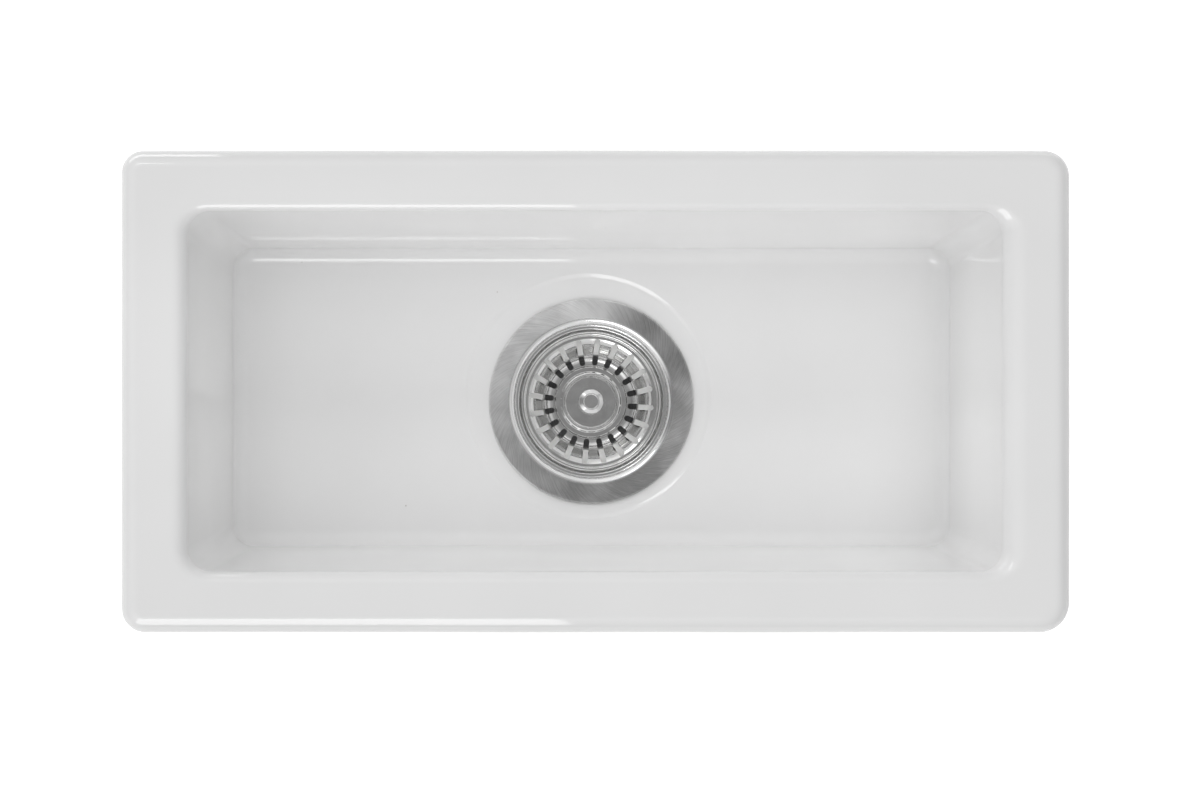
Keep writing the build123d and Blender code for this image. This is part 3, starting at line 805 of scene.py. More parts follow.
socket_mesh = turned_mesh("post_socket", [
    (socket_radius, hub_end_z, 0.3 * mm),
    (hub_radius, hub_end_z, 0.5 * mm),
    (hub_radius, hub_top_z, 0.5 * mm),
    (socket_radius + 1.1 * mm, hub_top_z, 0.1 * mm),
    (socket_radius, hub_top_z - 0.7 * mm, 0.2 * mm),
], 72)
post_socket = dressed("post_socket", socket_mesh, white_plastic)
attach(post_socket, "sink")


# The cover ring is a stainless pressing, snapped over the waste's flange and rolled down into its neck.
# Its flat is brushed by hand in short slanting strokes, painted with a lighter sheen towards the upper left,
# and its rolled edge stays bright.
# The neck below it is painted dark, a painted shade in the narrow gap round the basket.
flange_radius = 56 * mm


def pressed_lines(points, rounds, sheet):
    """Rounded top and under lines of a pressing of one thickness, point by point alike."""
    corners = [Vector(point) for point in points]
    ways = [(after - before).normalized() for before, after in zip(corners, corners[1:])]
    sides = [Vector((-way.y, way.x)) for way in ways]
    under = [corners[0] + sides[0] * sheet]
    under_rounds = [0]
    for corner, before, after, bend in zip(corners[1:], sides, sides[1:], rounds):
        under.append(corner + (before + after) * (sheet / (1 + before.dot(after))))
        turns_down = before.x * after.y - before.y * after.x > 0
        under_rounds.append(max(bend - sheet, 0) if turns_down else bend + sheet)
    under.append(corners[-1] + sides[-1] * sheet)
    return rounded_line(points, [0, *rounds, 0]), rounded_line(under, [*under_rounds, 0])


def pressed_mesh(name, points, rounds, sheet, columns=200):
    """Round pressing about the waste's axis, hung under a line of (radius, height) points."""
    top, under = pressed_lines(points, rounds, sheet)
    return spun_mesh(name, top + under[::-1], columns)


def stroke_place(finish, across, along, twist):
    """Coordinates that draw noise out into strokes round the waste's axis, slanted by a twist."""
    centred = finish.add("ShaderNodeMapping", {
        "Vector": finish.place,
        "Location": (-waste_axis[0], -waste_axis[1], 0),
    })
    parts = finish.add("ShaderNodeSeparateXYZ", {"Vector": centred}).node.outputs
    flat = finish.add("ShaderNodeCombineXYZ", {"X": parts["X"], "Y": parts["Y"]})
    radius = finish.add("ShaderNodeVectorMath", {0: flat}, "Value", operation="LENGTH")
    way = finish.add("ShaderNodeVectorMath", {0: flat}, "Vector", operation="NORMALIZE")
    angle = finish.maths("MULTIPLY", radius, twist)
    turned = finish.add("ShaderNodeVectorRotate", {"Vector": way, "Angle": angle}, rotation_type="Z_AXIS")
    wide = finish.add("ShaderNodeVectorMath", {0: turned, "Scale": across}, "Vector", operation="SCALE")
    depth = finish.maths("ADD", radius, finish.maths("MULTIPLY", parts["Z"], 0.7))
    rise = finish.add("ShaderNodeCombineXYZ", {"Z": finish.maths("MULTIPLY", depth, along)})
    return finish.add("ShaderNodeVectorMath", {0: wide, 1: rise}, "Vector", operation="ADD"), radius


def swirl_brushed_steel():
    """Satin steel brushed in slanting strokes, with broad clouds where the brush pressed harder, a painted
    sheen lighter towards the upper left and painted shade in the gap.
    """
    bright = (0.95, 0.95, 0.95)
    dull = (0.36, 0.36, 0.36)
    rolled = (0.95, 0.95, 0.95)
    # Painted shade: a near-black grey for the neck down in the gap round the basket.
    gap_shade_grey = (0.07, 0.07, 0.07)
    rolled_radius = 45.2 * mm
    rolled_roughness = 0.12
    gap_shade_start_z = flange_top_z - 5 * mm
    gap_shade_full_z = flange_top_z - 6.5 * mm
    # The flat is painted lighter towards the upper left: a painted sheen, not brush pressure.
    sheen_way = (-1.0, 0.6, 0)
    stroke_slant = math.radians(48)
    stroke_twist = -22
    finish = Finish("swirl_brushed_steel", {"Metallic": 1.0})
    fine_place, radius = stroke_place(finish, 420, 260, stroke_twist)
    long_place, _ = stroke_place(finish, 130, 110, stroke_twist)
    strokes = finish.clouds(1, 3, fine_place)
    drags = finish.clouds(1, 2, long_place)
    patches = finish.clouds(16, 2)
    clouds = finish.clouds(60, 3)
    brush_pressure_and_sheen = finish.maths("MULTIPLY", patches, 0.6)
    for lighter in (clouds, drags):
        brush_pressure_and_sheen = finish.maths("ADD", brush_pressure_and_sheen, finish.maths("MULTIPLY", lighter, 0.2))
    # Painted sheen: the brush clouds are lifted towards the upper left of the flat.
    painted_sheen = finish.add("ShaderNodeVectorMath", {
        0: finish.place,
        1: sheen_way,
    }, "Value", operation="DOT_PRODUCT")
    brush_pressure_and_sheen = finish.maths("ADD", brush_pressure_and_sheen, painted_sheen)
    flat = finish.blend(finish.spread(brush_pressure_and_sheen, 0.42, 0.62), dull, bright)
    flat = finish.blend(finish.spread(strokes, 0.4, 0.7, 0.0, 0.4), flat, bright)
    on_flat = finish.spread(radius, rolled_radius - 0.6 * mm, rolled_radius + 0.4 * mm)
    satin = finish.spread(strokes, 0.3, 0.7, 0.3, 0.42)
    radial = finish.add("ShaderNodeVectorMath", {
        0: finish.place,
        1: (*waste_axis, 0),
    }, "Vector", operation="SUBTRACT")
    across_strokes = finish.add("ShaderNodeVectorRotate", {
        "Vector": radial,
        "Angle": stroke_slant + math.pi / 2,
    }, rotation_type="Z_AXIS")
    finish.join("Tangent", across_strokes)
    finish.join("Anisotropic", finish.maths("MULTIPLY", on_flat, 0.85))
    roughness = finish.add("ShaderNodeMix", {0: on_flat, 2: rolled_roughness, 3: satin})
    finish.bump(finish.maths("MULTIPLY", strokes, on_flat), 0.015 * mm, 0.5)
    # The neck is painted darker going down into the gap round the basket: painted shade, not grime.
    height = finish.add("ShaderNodeSeparateXYZ", {"Vector": finish.place}, "Z")
    gap_shade = finish.spread(height, gap_shade_start_z, gap_shade_full_z)
    rolled_and_gap_shade = finish.blend(gap_shade, rolled, gap_shade_grey)
    return finish.done(finish.blend(on_flat, rolled_and_gap_shade, flat), roughness)


flange_points = [
    (flange_radius, flange_top_z - 2.2 * mm),
    (flange_radius, flange_top_z),
    (41.3 * mm, flange_top_z),
    (41.3 * mm, flange_top_z - 4.6 * mm),
    (39.3 * mm, flange_top_z - 4.6 * mm),
    (39.3 * mm, flange_top_z - 14.6 * mm),
]
flange_rounds = [0.9 * mm, 4 * mm, 0.25 * mm, 0.7 * mm]
flange_mesh = pressed_mesh("cover_ring", flange_points, flange_rounds, flange_sheet)
cover_ring = dressed("cover_ring", flange_mesh, swirl_brushed_steel(), 45)
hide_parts("flange_ring")
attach(cover_ring, "sink")


# Soft black rubber washers seal the waste above and below the base of the bowl.
# The upper one is thin and hidden under the flange; the lower one is thick and squeezed by the nut.


def black_rubber(name, roughness=0.62):
    """Matt black rubber with a bloom of dust grey and a fine grain."""
    finish = Finish(name, {"IOR": 1.5})
    bloom = finish.spread(finish.clouds(45, 4), 0.42, 0.75)
    finish.bump(finish.clouds(2200, 2), 0.02 * mm, 0.4)
    worn = finish.spread(finish.clouds(120, 3), 0.3, 0.7, roughness - 0.1, roughness + 0.1)
    return finish.done(finish.blend(bloom, (0.034, 0.034, 0.035), (0.07, 0.07, 0.07)), worn)


def washer_mesh(name, node_name, inner, outer, inner_round, low_round, high_round):
    """Flat washer between the heights of its CAD node, with its edges rounded."""
    low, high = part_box(node_name)
    return turned_mesh(name, [
        (inner, low.z, inner_round),
        (outer, low.z, low_round),
        (outer, high.z, high_round),
        (inner, high.z, inner_round),
    ])


washer_outer = body_flange_radius
flange_washer_inner = 46.5 * mm
neck_washer_inner = 43.7 * mm
gasket_rubber = black_rubber("gasket_rubber")
flange_washer_mesh = washer_mesh(
    "flange_washer", "flange_seal", flange_washer_inner, washer_outer, 0.3 * mm, 0.4 * mm, 0.4 * mm
)
flange_washer = dressed("flange_washer", flange_washer_mesh, gasket_rubber)
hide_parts("flange_seal")
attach(flange_washer, "sink")

gasket_mesh = washer_mesh(
    "base_gasket", "under_gasket", neck_washer_inner, washer_outer, 0.3 * mm, 1 * mm, 0.6 * mm
)
base_gasket = dressed("base_gasket", gasket_mesh, gasket_rubber)
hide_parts("under_gasket")
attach(base_gasket, "sink")


# A hard, slippery plastic washer lets the backnut turn without dragging the rubber round with it.
# The backnut is a ring with eight lugs, moulded in the same white plastic as the body.
slip_washer_outer = 53 * mm
washer_plastic = moulded_plastic("slip_washer_plastic", (0.78, 0.78, 0.75), (0.7, 0.7, 0.66), 0.28)
nut_washer_mesh = washer_mesh(
    "nut_washer", "slip_washer", neck_washer_inner, slip_washer_outer, 0.2 * mm, 0.3 * mm, 0.3 * mm
)
nut_washer = dressed("nut_washer", nut_washer_mesh, washer_plastic)
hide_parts("slip_washer")
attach(nut_washer, "sink")

nut_low, nut_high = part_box("backnut")
lug_count = 8
nut_ring_radius = 51 * mm
lug_tip = 56.5 * mm
lug_half_width = 5.5 * mm
lug_round = 2 * mm
lug_root_round = 1.5 * mm
nut_bore = neck_radius
nut_chamfer = 0.9 * mm


def lug_outline():
    """Plan of one lug and its share of the ring, from one side of the sector to the other."""
    root_x = math.sqrt(nut_ring_radius ** 2 - lug_half_width ** 2)
    half_sector = math.pi / lug_count
    root_angle = math.atan2(lug_half_width + lug_root_round, root_x)
    rim = [half_sector + (root_angle - half_sector) * step / 4 for step in range(5)]
    upper = [Vector((math.cos(angle), math.sin(angle))) * nut_ring_radius for angle in rim]
    corners = [upper[-1], (root_x + 0.3 * mm, lug_half_width), (lug_tip, lug_half_width), (lug_tip, 0)]
    upper += rounded_line(corners, [0, lug_root_round * 0.6, lug_round, 0])[1:]
    lower = [Vector((point.x, -point.y)) for point in reversed(upper[:-1])]
    return upper + lower


def nut_sector_mesh():
    """One eighth of the backnut, open where it meets its neighbours."""
    plan = lug_outline()
    reach = [point.length for point in plan]
    angles = [math.atan2(point.y, point.x) for point in plan]
    mesh = bmesh.new()
    columns = []
    for angle, radius in zip(angles, reach):
        section = [
            (nut_bore, nut_low.z + nut_chamfer),
            (nut_bore, nut_high.z - nut_chamfer),
            (nut_bore + nut_chamfer, nut_high.z),
            (radius - nut_chamfer, nut_high.z),
            (radius - 0.3 * nut_chamfer, nut_high.z - 0.3 * nut_chamfer),
            (radius, nut_high.z - nut_chamfer),
            (radius, nut_low.z + nut_chamfer),
            (radius - 0.3 * nut_chamfer, nut_low.z + 0.3 * nut_chamfer),
            (radius - nut_chamfer, nut_low.z),
            (nut_bore + nut_chamfer, nut_low.z),
        ]
        columns.append([
            mesh.verts.new((spot * math.cos(angle), spot * math.sin(angle), height))
            for spot, height in section
        ])
    for here, ahead in zip(columns, columns[1:]):
        for step in range(len(here)):
            beside = (step + 1) % len(here)
            mesh.faces.new((here[step], here[beside], ahead[beside], ahead[step]))
    made = bpy.data.meshes.new("nut_sector")
    mesh.to_mesh(made)
    mesh.free()
    return made


nut_plastic = moulded_plastic("backnut_plastic", (0.76, 0.76, 0.74), (0.69, 0.69, 0.66), 0.4, 18)
nut_mesh = repeated_mesh("lugged_backnut", lug_count, 0.0, nut_plastic, nut_sector_mesh())
lugged_backnut = dressed("lugged_backnut", nut_mesh, nut_plastic, 30)
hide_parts("backnut")
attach(lugged_backnut, "sink")


# The guide post is a black plastic plug with sprung fingers, which clicks into the socket.
# It turns freely on the stem, so the basket lifts and spins while the post holds it central.
# Its CAD mesh is kept as it is and takes the finish.


def finish_node(node_name, material):
    """Gives a CAD node its finish and leaves its mesh alone."""
    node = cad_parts[node_name]
    node.data.materials.clear()
    node.data.materials.append(material)


post_plastic = moulded_plastic("post_plastic", (0.05, 0.05, 0.052), (0.03, 0.03, 0.031), 0.42)
finish_node("guide_post", post_plastic)


# The strainer basket is pressed from thin bright stainless: a rolled rim, a ledge, a wall rounded
# off above and below with twenty slots punched straight down, and a raised centre with a low bead.
# The flat inside the bead has a small well, in which the knob stands.
cup_rim_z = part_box("basket_cup")[1].z
cup_sheet = 0.6 * mm
cup_bottom_z = cup_rim_z - 21.5 * mm
cup_centre_z = cup_bottom_z + 2 * mm
bead_z = cup_centre_z + 0.7 * mm
plate_z = bead_z - 1.5 * mm
slot_count = 20
slot_first_angle = math.radians(12)
slot_half_width = 1.55 * mm
slot_inner = 20.5 * mm
slot_outer = 34.4 * mm
sector_columns = 4
end_steps = 7
wall_steps = 8
long_stretch = 6 * mm

cup_points = [
    (38.2 * mm, cup_rim_z - 2 * mm),
    (38.2 * mm, cup_rim_z),
    (36.3 * mm, cup_rim_z),
    (35.95 * mm, cup_rim_z - 1.3 * mm),
    (30.7 * mm, cup_rim_z - 1.3 * mm),
    (27.4 * mm, cup_bottom_z),
    (20 * mm, cup_bottom_z),
    (19.5 * mm, cup_centre_z),
    (17 * mm, cup_centre_z),
    (15.3 * mm, bead_z),
    (13.6 * mm, cup_centre_z),
    (6.3 * mm, cup_centre_z),
    (5.75 * mm, plate_z),
    (2.6 * mm, plate_z),
]
cup_rounds = [
    0.9 * mm, 0.9 * mm, 0.35 * mm, 5.8 * mm, 7.5 * mm, 0.5 * mm,
    0.5 * mm, 0.8 * mm, 1.6 * mm, 0.8 * mm, 0.2 * mm, 0.2 * mm,
]


def slot_reach(radius):
    """Half the slot's width at a radius, nothing beyond its round ends."""
    inner_end = slot_inner + slot_half_width
    outer_end = slot_outer - slot_half_width
    past_end = max(inner_end - radius, radius - outer_end, 0)
    return math.sqrt(max(slot_half_width ** 2 - past_end ** 2, 0))


def cup_stations():
    """Pairs of points on the cup's top and underside, close together where the slots end."""
    top, under = pressed_lines(cup_points, cup_rounds, cup_sheet)
    stations = []
    ends = []
    for step in range(end_steps + 1):
        reach = slot_half_width * (1 - math.cos(math.pi / 2 * step / end_steps))
        ends += [slot_inner + reach, slot_outer - reach]
    for here, ahead, below, below_ahead in zip(top, top[1:], under, under[1:]):
        cuts = [radius for radius in ends if min(here.x, ahead.x) < radius < max(here.x, ahead.x)]
        shares = [abs(radius - here.x) / abs(ahead.x - here.x) for radius in cuts]
        if (ahead - here).length > long_stretch:
            shares += [step / wall_steps for step in range(1, wall_steps)]
        for share in [0, *sorted(shares)]:
            stations.append((here.lerp(ahead, share), below.lerp(below_ahead, share)))
    stations.append((top[-1], under[-1]))
    return stations


def cup_sector_mesh():
    """One slot and its share of the cup, open where it meets its neighbours."""
    half_sector = math.pi / slot_count
    mesh = bmesh.new()
    grid = []
    for pair in cup_stations():
        sheets = []
        for point in pair:
            edge = math.asin(slot_reach(point.x) / point.x)
            angles = [
                edge + (half_sector - edge) * step / sector_columns
                for step in range(sector_columns + 1)
            ]
            sheets.append([
                [
                    mesh.verts.new((
                        point.x * math.cos(side * angle), point.x * math.sin(side * angle), point.y,
                    ))
                    for angle in angles
                ]
                for side in (-1, 1)
            ])
        grid.append(sheets)
    for here, ahead in zip(grid, grid[1:]):
        for side in range(2):
            for sheet in range(2):
                for step in range(sector_columns):
                    mesh.faces.new((
                        here[sheet][side][step],
                        here[sheet][side][step + 1],
                        ahead[sheet][side][step + 1],
                        ahead[sheet][side][step],
                    ))
            mesh.faces.new((here[0][side][0], ahead[0][side][0], ahead[1][side][0], here[1][side][0]))
    for end in (grid[0], grid[-1]):
        for side in range(2):
            for step in range(sector_columns):
                mesh.faces.new((
                    end[0][side][step],
                    end[0][side][step + 1],
                    end[1][side][step + 1],
                    end[1][side][step],
                ))
    made = bpy.data.meshes.new("cup_sector")
    mesh.to_mesh(made)
    mesh.free()
    return made


def bright_pressed_steel(name, colour, shade, low, high, across=2.0, along=5200.0):
    """Bright steel with the fine round lines that pressing and polishing leave."""
    finish = Finish(name, {"Metallic": 1.0})
    line_place, _ = stroke_place(finish, across, along, 0)
    lines = finish.clouds(1, 2, line_place)
    smears = finish.clouds(120, 4)
    tone = finish.blend(finish.spread(smears, 0.35, 0.7), shade, colour)
    tone = finish.blend(finish.spread(lines, 0.35, 0.65, 0.0, 0.2), tone, colour)
    finish.bump(lines, 0.001 * mm, 0.1)
    return finish.done(tone, finish.spread(finish.clouds(260, 3), 0.3, 0.7, low, high))


basket_steel = bright_pressed_steel("bright_basket_steel", (0.9, 0.9, 0.895), (0.76, 0.76, 0.755), 0.06, 0.12)
cup_mesh = repeated_mesh("strainer_cup", slot_count, slot_first_angle, basket_steel, cup_sector_mesh())
strainer_cup = dressed("strainer_cup", cup_mesh, basket_steel, 50)
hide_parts("basket_cup")
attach(strainer_cup, "basket")


# The knob is turned from stainless bar: a foot on the plate, a waisted neck and a rounded head.
# It is screwed down on the stem and polished, with a slightly dished face.
knob_face_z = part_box("knob")[1].z
knob_foot_radius = 5.6 * mm
knob_neck_radius = 3.4 * mm
knob_head_radius = 6.7 * mm
knob_dish_z = knob_face_z - 0.35 * mm
knob_steel = bright_pressed_steel(
    "turned_knob_steel", (0.95, 0.95, 0.95), (0.86, 0.86, 0.86), 0.08, 0.14, 3, 3500
)
knob_mesh = turned_mesh("lift_knob", [
    (0, plate_z, 0),
    (knob_foot_radius, plate_z, 0),
    (knob_foot_radius, plate_z + 1.6 * mm, 0.4 * mm),
    (knob_neck_radius, plate_z + 3.2 * mm, 1.8 * mm),
    (knob_neck_radius, knob_face_z - 6 * mm, 1.8 * mm),
    (knob_head_radius, knob_face_z - 4.4 * mm, 0.8 * mm),
    (knob_head_radius, knob_face_z - 0.7 * mm, 0.5 * mm),
    (4.5 * mm, knob_face_z, 0.5 * mm),
    (4.2 * mm, knob_face_z, 0.15 * mm),
    (3.85 * mm, knob_dish_z, 0.3 * mm),
    (0, knob_dish_z, 0),
], 96)
lift_knob = dressed("lift_knob", knob_mesh, knob_steel, 45)
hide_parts("knob")
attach(lift_knob, "basket")


# The stem is a threaded stainless stud with a groove near its end for the retaining clip.
# It runs from the knob through the cup, the plug seal, the retainer and the nut to the post.
stem_low, stem_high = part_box("stem")
clip_top_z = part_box("post_clip")[1].z
stem_crest = 2.5 * mm
stem_depth = 0.35 * mm
groove_floor = 2.15 * mm
stem_steel = bright_pressed_steel(
    "threaded_stem_steel", (0.56, 0.56, 0.55), (0.44, 0.44, 0.43), 0.24, 0.36, 4, 1800
)
stem_mesh = turned_mesh("threaded_stud", [
    (0, stem_low.z, 0),
    (1.9 * mm, stem_low.z, 0.1 * mm),
    (stem_crest, stem_low.z + 0.8 * mm, 0.1 * mm),
    (stem_crest, clip_top_z - 0.7 * mm, 0.05 * mm),
    (groove_floor, clip_top_z - 0.7 * mm, 0.05 * mm),
    (groove_floor, clip_top_z, 0.05 * mm),
    (stem_crest, clip_top_z, 0.05 * mm),
    (stem_crest, clip_top_z + 16 * mm, 0.05 * mm),
    (stem_crest - stem_depth, clip_top_z + 16.4 * mm, 0.05 * mm),
    (stem_crest - stem_depth, stem_high.z, 0.1 * mm),
    (0, stem_high.z, 0),
], 48)
threaded_stud = dressed("threaded_stud", stem_mesh, stem_steel)
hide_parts("stem")
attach(threaded_stud, "basket")

stud_thread_mesh = thread_mesh(
    "stud_thread", stem_crest, stem_depth, 0.8 * mm, clip_top_z + 17 * mm, 17 * mm, 24, stem_steel
)
stud_thread = dressed("stud_thread", stud_thread_mesh, stem_steel, 30)
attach(stud_thread, "basket")


# The plug seal is moulded black rubber, clamped under the cup with three grooves in its top
# and a tapered edge that closes on the seat in the waste when the basket is pushed down.
cup_under_z = cup_bottom_z - cup_sheet
plate_under_z = plate_z - cup_sheet
ring_seat_z = plate_under_z - 1.2 * mm
seal_under_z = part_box("plug_seal")[0].z
retainer_top_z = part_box("seal_retainer")[1].z
seal_radius = 25.6 * mm
seal_edge_low = 22.5 * mm
seal_well_radius = 15.8 * mm
seal_top_radius = 13.8 * mm
seal_bore_radius = 2.5 * mm
ring_seat_radius = 3.7 * mm
groove_width = 0.7 * mm
groove_depth = 0.6 * mm
groove_pitch = 1.4 * mm
first_groove = 21.2 * mm

seal_outline = [
    (seal_bore_radius, retainer_top_z, 0),
    (seal_well_radius, retainer_top_z, 0.2 * mm),
    (seal_well_radius, seal_under_z, 0.4 * mm),
    (seal_edge_low + 0.85 * mm, seal_under_z, 0.5 * mm),
    (seal_radius, cup_under_z - 1.4 * mm, 0.6 * mm),
    (seal_radius - 0.35 * mm, cup_under_z, 0.3 * mm),
]
for index in (2, 1, 0):
    groove_inner = first_groove + index * groove_pitch
    seal_outline += [
        (groove_inner + groove_width, cup_under_z, 0.12 * mm),
        (groove_inner + groove_width, cup_under_z - groove_depth, 0.1 * mm),
        (groove_inner, cup_under_z - groove_depth, 0.1 * mm),
        (groove_inner, cup_under_z, 0.12 * mm),
    ]
seal_outline += [
    (seal_top_radius, cup_under_z, 0.2 * mm),
    (seal_top_radius, plate_under_z, 0.1 * mm),
    (ring_seat_radius, plate_under_z, 0.1 * mm),
    (ring_seat_radius, ring_seat_z, 0.1 * mm),
    (seal_bore_radius, ring_seat_z, 0),
]
plug_mesh = turned_mesh("rubber_plug", seal_outline, 128)
rubber_plug = dressed("rubber_plug", plug_mesh, black_rubber("plug_rubber", 0.5))
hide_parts("plug_seal")
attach(rubber_plug, "basket")


# Small parts hold the seal up and the post on: a pressed retainer with its edge turned down,
# a thin brass nut, a rubber ring on the stem and an open spring clip in the stem's groove.
small_finishes = {
    "seal_retainer": bright_pressed_steel("retainer_steel", (0.62, 0.62, 0.61), (0.5, 0.5, 0.49), 0.18, 0.3),
    "stem_nut": bright_pressed_steel("nut_brass", (0.72, 0.5, 0.22), (0.55, 0.36, 0.14), 0.22, 0.36),
    "stem_o_ring": black_rubber("ring_rubber", 0.45),
    "post_clip": bright_pressed_steel("clip_steel", (0.4, 0.4, 0.41), (0.26, 0.26, 0.27), 0.3, 0.42),
}
for node_name, small_finish in small_finishes.items():
    finish_node(node_name, small_finish)


# The floor is plain and pale. It shows white to the camera and to mirrors, and keeps the shadow.
# The light is a soft grey sky in two versions, one that lights and one that shiny surfaces mirror,
# with soft panels that show in reflections only, and lamps in and over the bowl that only light.
floor_span = 12.0
floor_gap = 0.2 * mm
floor_white = 0.86
floor_glow = 0.52
sky_front_gain = 0.6
sky_left_gain = 0.45

floor_mesh = bpy.data.meshes.new("studio_floor")
half_span = floor_span / 2
floor_corners = [
    (x * half_span, y * half_span, cad_low.z - floor_gap)
    for x, y in ((-1, -1), (1, -1), (1, 1), (-1, 1))
]
floor_mesh.from_pydata(floor_corners, [], [(0, 1, 2, 3)])
studio_floor = bpy.data.objects.new("studio_floor", floor_mesh)
bpy.context.scene.collection.objects.link(studio_floor)
floor_finish = Finish("studio_floor", {"Roughness": 0.9, "Base Color": (floor_white,) * 3 + (1,)})
light_path = floor_finish.add("ShaderNodeLightPath", {}).node.outputs
seen = floor_finish.maths("MAXIMUM", light_path["Is Camera Ray"], light_path["Is Glossy Ray"])
seen = floor_finish.maths("MAXIMUM", seen, light_path["Is Transmission Ray"])
glow = floor_finish.add("ShaderNodeEmission", {
    "Color": (1, 1, 1, 1),
    "Strength": floor_finish.maths("MULTIPLY", seen, floor_glow),
})
both = floor_finish.add("ShaderNodeAddShader", {0: floor_finish.shader.outputs[0], 1: glow})
floor_finish.tree.links.new(both, floor_finish.tree.nodes["Material Output"].inputs["Surface"])
floor_mesh.materials.append(floor_finish.done())

world = bpy.data.worlds.new("studio_sky")
bpy.context.scene.world = world
world.use_nodes = True
sky = world.node_tree
sky_way = add_node(sky, "ShaderNodeTexCoord", {}, "Generated")
sky_parts = add_node(sky, "ShaderNodeSeparateXYZ", {"Vector": sky_way}).node.outputs

# A ring stop is a height, 0 at the horizon and 1 straight overhead, and the level there.
lit_stops = (
    (0.0, 0.55), (0.12, 0.4), (0.3, 0.45), (0.6, 0.72), (0.82, 0.84), (0.97, 0.84), (0.99, 0.6),
)
mirrored_stops = (
    (0.0, 0.6), (0.12, 0.45), (0.3, 0.45), (0.6, 0.5), (0.8, 0.68), (0.9, 0.6), (0.965, 0.38), (0.99, 0.25),
)
# A round stop is a share of a turn, from the left by the front, the right and the far side.
round_stops = (
    (0.0, 0.35), (0.03, 0.4), (0.11, 1.6), (0.222, 1.6), (0.306, 0.95), (0.417, 0.8), (0.556, 1.0),
    (0.611, 0.65), (0.708, 0.65), (0.78, 1.25), (0.85, 1.6), (0.94, 0.4), (1.0, 0.35),
)
overhead_height = 0.99
overhead_fade = 25
overhead_ease = 0.004


def sky_sum(operation, first, second):
    """One sum in the sky's tree, on values or links."""
    return add_sum(sky, operation, first, second)


def sky_ramp(place, stops):
    """Grey ramp in the sky's tree, from pairs of a place between 0 and 1 and the level there."""
    level_there = add_node(sky, "ShaderNodeValToRGB", {"Fac": place})
    ramp = level_there.node.color_ramp
    while len(ramp.elements) < len(stops):
        ramp.elements.new(0.5)
    for element, (position, grey) in zip(ramp.elements, stops):
        element.position = position
        element.color = (grey, grey, grey, 1)
    return level_there


across = sky_sum("MULTIPLY", sky_parts["X"], sky_parts["X"])
ahead = sky_sum("MULTIPLY", sky_parts["Y"], sky_parts["Y"])
all_round = sky_sum("ADD", sky_sum("ADD", across, ahead), overhead_ease)
front_share = sky_sum("DIVIDE", sky_sum("SUBTRACT", ahead, across), all_round)
front_level = sky_sum("ADD", sky_sum("MULTIPLY", front_share, sky_front_gain), 1)
left_level = sky_sum("MULTIPLY", sky_parts["X"], -sky_left_gain)
lit_level = sky_sum("MULTIPLY", sky_ramp(sky_parts["Z"], lit_stops), sky_sum("ADD", front_level, left_level))

turned = sky_sum("DIVIDE", sky_sum("ARCTAN2", sky_parts["Y"], sky_parts["X"]), 2 * math.pi)
round_change = sky_sum("SUBTRACT", sky_ramp(sky_sum("ADD", turned, 0.5), round_stops), 1)
low_share = sky_sum("MULTIPLY", sky_sum("SUBTRACT", overhead_height, sky_parts["Z"]), overhead_fade)
low_share = sky_sum("MINIMUM", sky_sum("MAXIMUM", low_share, 0), 1)
round_level = sky_sum("ADD", sky_sum("MULTIPLY", round_change, low_share), 1)
mirrored_level = sky_sum("MULTIPLY", sky_ramp(sky_parts["Z"], mirrored_stops), round_level)

mirrored_share = add_node(sky, "ShaderNodeLightPath", {}, "Is Glossy Ray")
lit_part = sky_sum("MULTIPLY", lit_level, sky_sum("SUBTRACT", 1, mirrored_share))
mirrored_part = sky_sum("MULTIPLY", mirrored_level, mirrored_share)
sky_shader = sky.nodes["Background"]
sky_shader.inputs["Color"].default_value = (1, 1, 1, 1)
sky.links.new(sky_sum("ADD", lit_part, mirrored_part), sky_shader.inputs["Strength"])


def softbox(name, place, toward, size, watts, mirrored=False, beam=180):
    """Rectangular panel unseen by the camera: a mirrored one shows in reflections, others only light."""
    lamp = bpy.data.lights.new(name, "AREA")
    lamp.shape = "RECTANGLE"
    lamp.size, lamp.size_y = size
    lamp.energy = watts
    lamp.spread = math.radians(beam)
    box = bpy.data.objects.new(name, lamp)
    box.location = place
    box.rotation_euler = (Vector(toward) - Vector(place)).to_track_quat("-Z", "Y").to_euler()
    box.visible_camera = False
    box.visible_glossy = mirrored
    box.visible_diffuse = not mirrored
    bpy.context.scene.collection.objects.link(box)


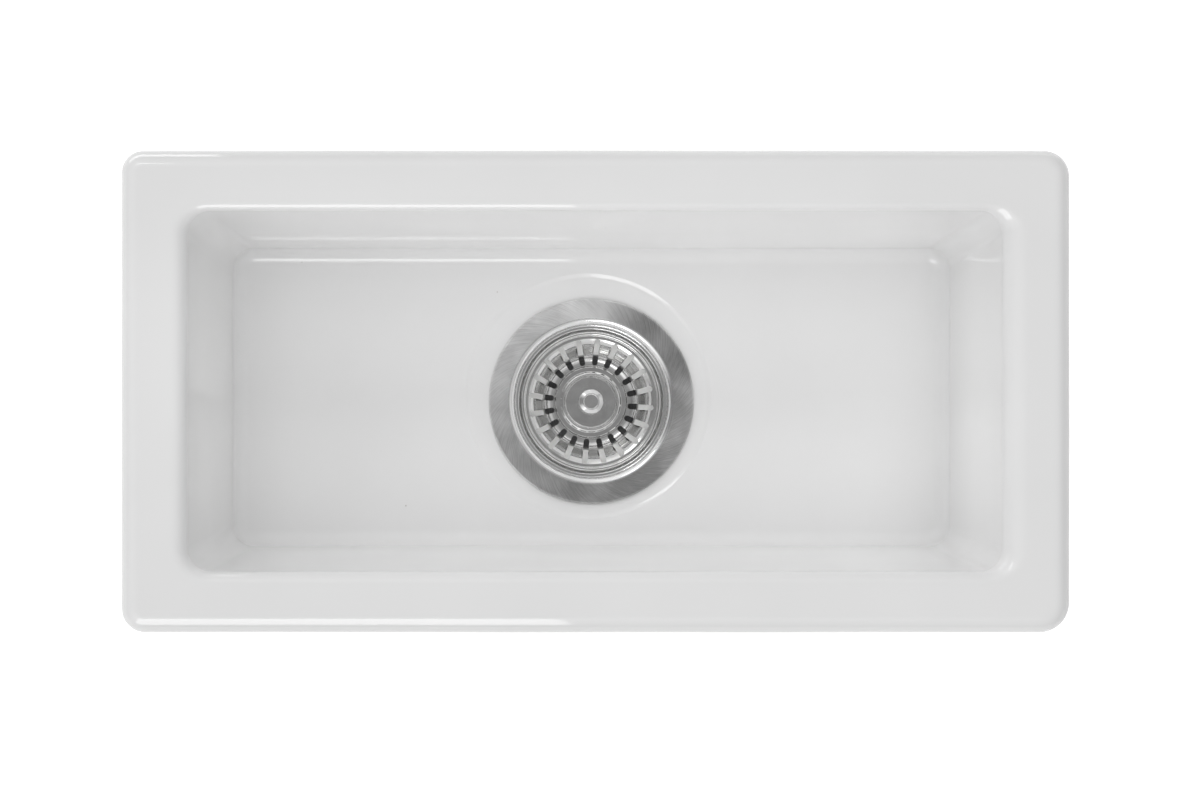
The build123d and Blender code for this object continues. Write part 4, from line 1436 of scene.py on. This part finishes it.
softbox("overhead_fill", (0, 0, 2.4), (0, 0.001, 0), (1.8, 1.8), watts=6.2)
softbox("bowl_fill", (-0.04, 0.01, 0.07), (-0.04, 0.0101, 0), (0.34, 0.1), watts=0.016, beam=140)
softbox("far_wall_fill", (-0.02, 0, -0.065), (-0.02, 1, -0.065), (0.36, 0.1), watts=0.02)
softbox("near_wall_fill", (0, 0, -0.065), (0, -1, -0.065), (0.36, 0.1), watts=0.028)
softbox("right_wall_fill", (0.12, -0.01, -0.06), (1, -0.01, -0.06), (0.1, 0.08), watts=0.009)
softbox("left_wall_fill", (-0.12, 0, -0.06), (-1, 0, -0.06), (0.1, 0.08), watts=0.0025)
softbox("near_panel", (-0.45, -1.0, 1.08), (-0.45, 0, 1.08), (0.9, 1.44), watts=14, mirrored=True)
softbox("far_strip", (-0.88, 1.0, 0.0), (-0.88, 0, 0.0), (1.2, 0.3), watts=4, mirrored=True)
softbox("far_panel", (-0.8, 1.0, 1.57), (-0.8, 0, 1.57), (0.73, 0.35), watts=3.4, mirrored=True)

# One weak lamp behind the outer end of each slot lights the white plastic that shows through it.
dish_lamp_radius = 35 * mm
dish_lamp_z = -170 * mm
dish_lit_radius = 29 * mm
dish_lit_z = -184.4 * mm
dish_lamp_size = (5 * mm, 5 * mm)
axis_foot = Vector((*waste_axis, 0))
for index in range(slot_count):
    angle = slot_first_angle + 2 * math.pi * index / slot_count
    spoke = Vector((math.cos(angle), math.sin(angle), 0))
    lamp_place = axis_foot + spoke * dish_lamp_radius + Vector((0, 0, dish_lamp_z))
    lit_place = axis_foot + spoke * dish_lit_radius + Vector((0, 0, dish_lit_z))
    softbox("dish_light", lamp_place, lit_place, dish_lamp_size, watts=0.00012, beam=60)

camera = bpy.data.cameras.new("camera")
camera.lens = 94.48
camera.sensor_width = 36
camera.shift_x = 0.0439
camera.shift_y = 0.051
camera.clip_start = 0.05
camera.clip_end = 30
camera_stand = bpy.data.objects.new("camera", camera)
camera_stand.location = (-0.024, -0.0347, 1.56)
bpy.context.scene.collection.objects.link(camera_stand)
bpy.context.scene.camera = camera_stand
bpy.context.scene.view_settings.view_transform = "Standard"
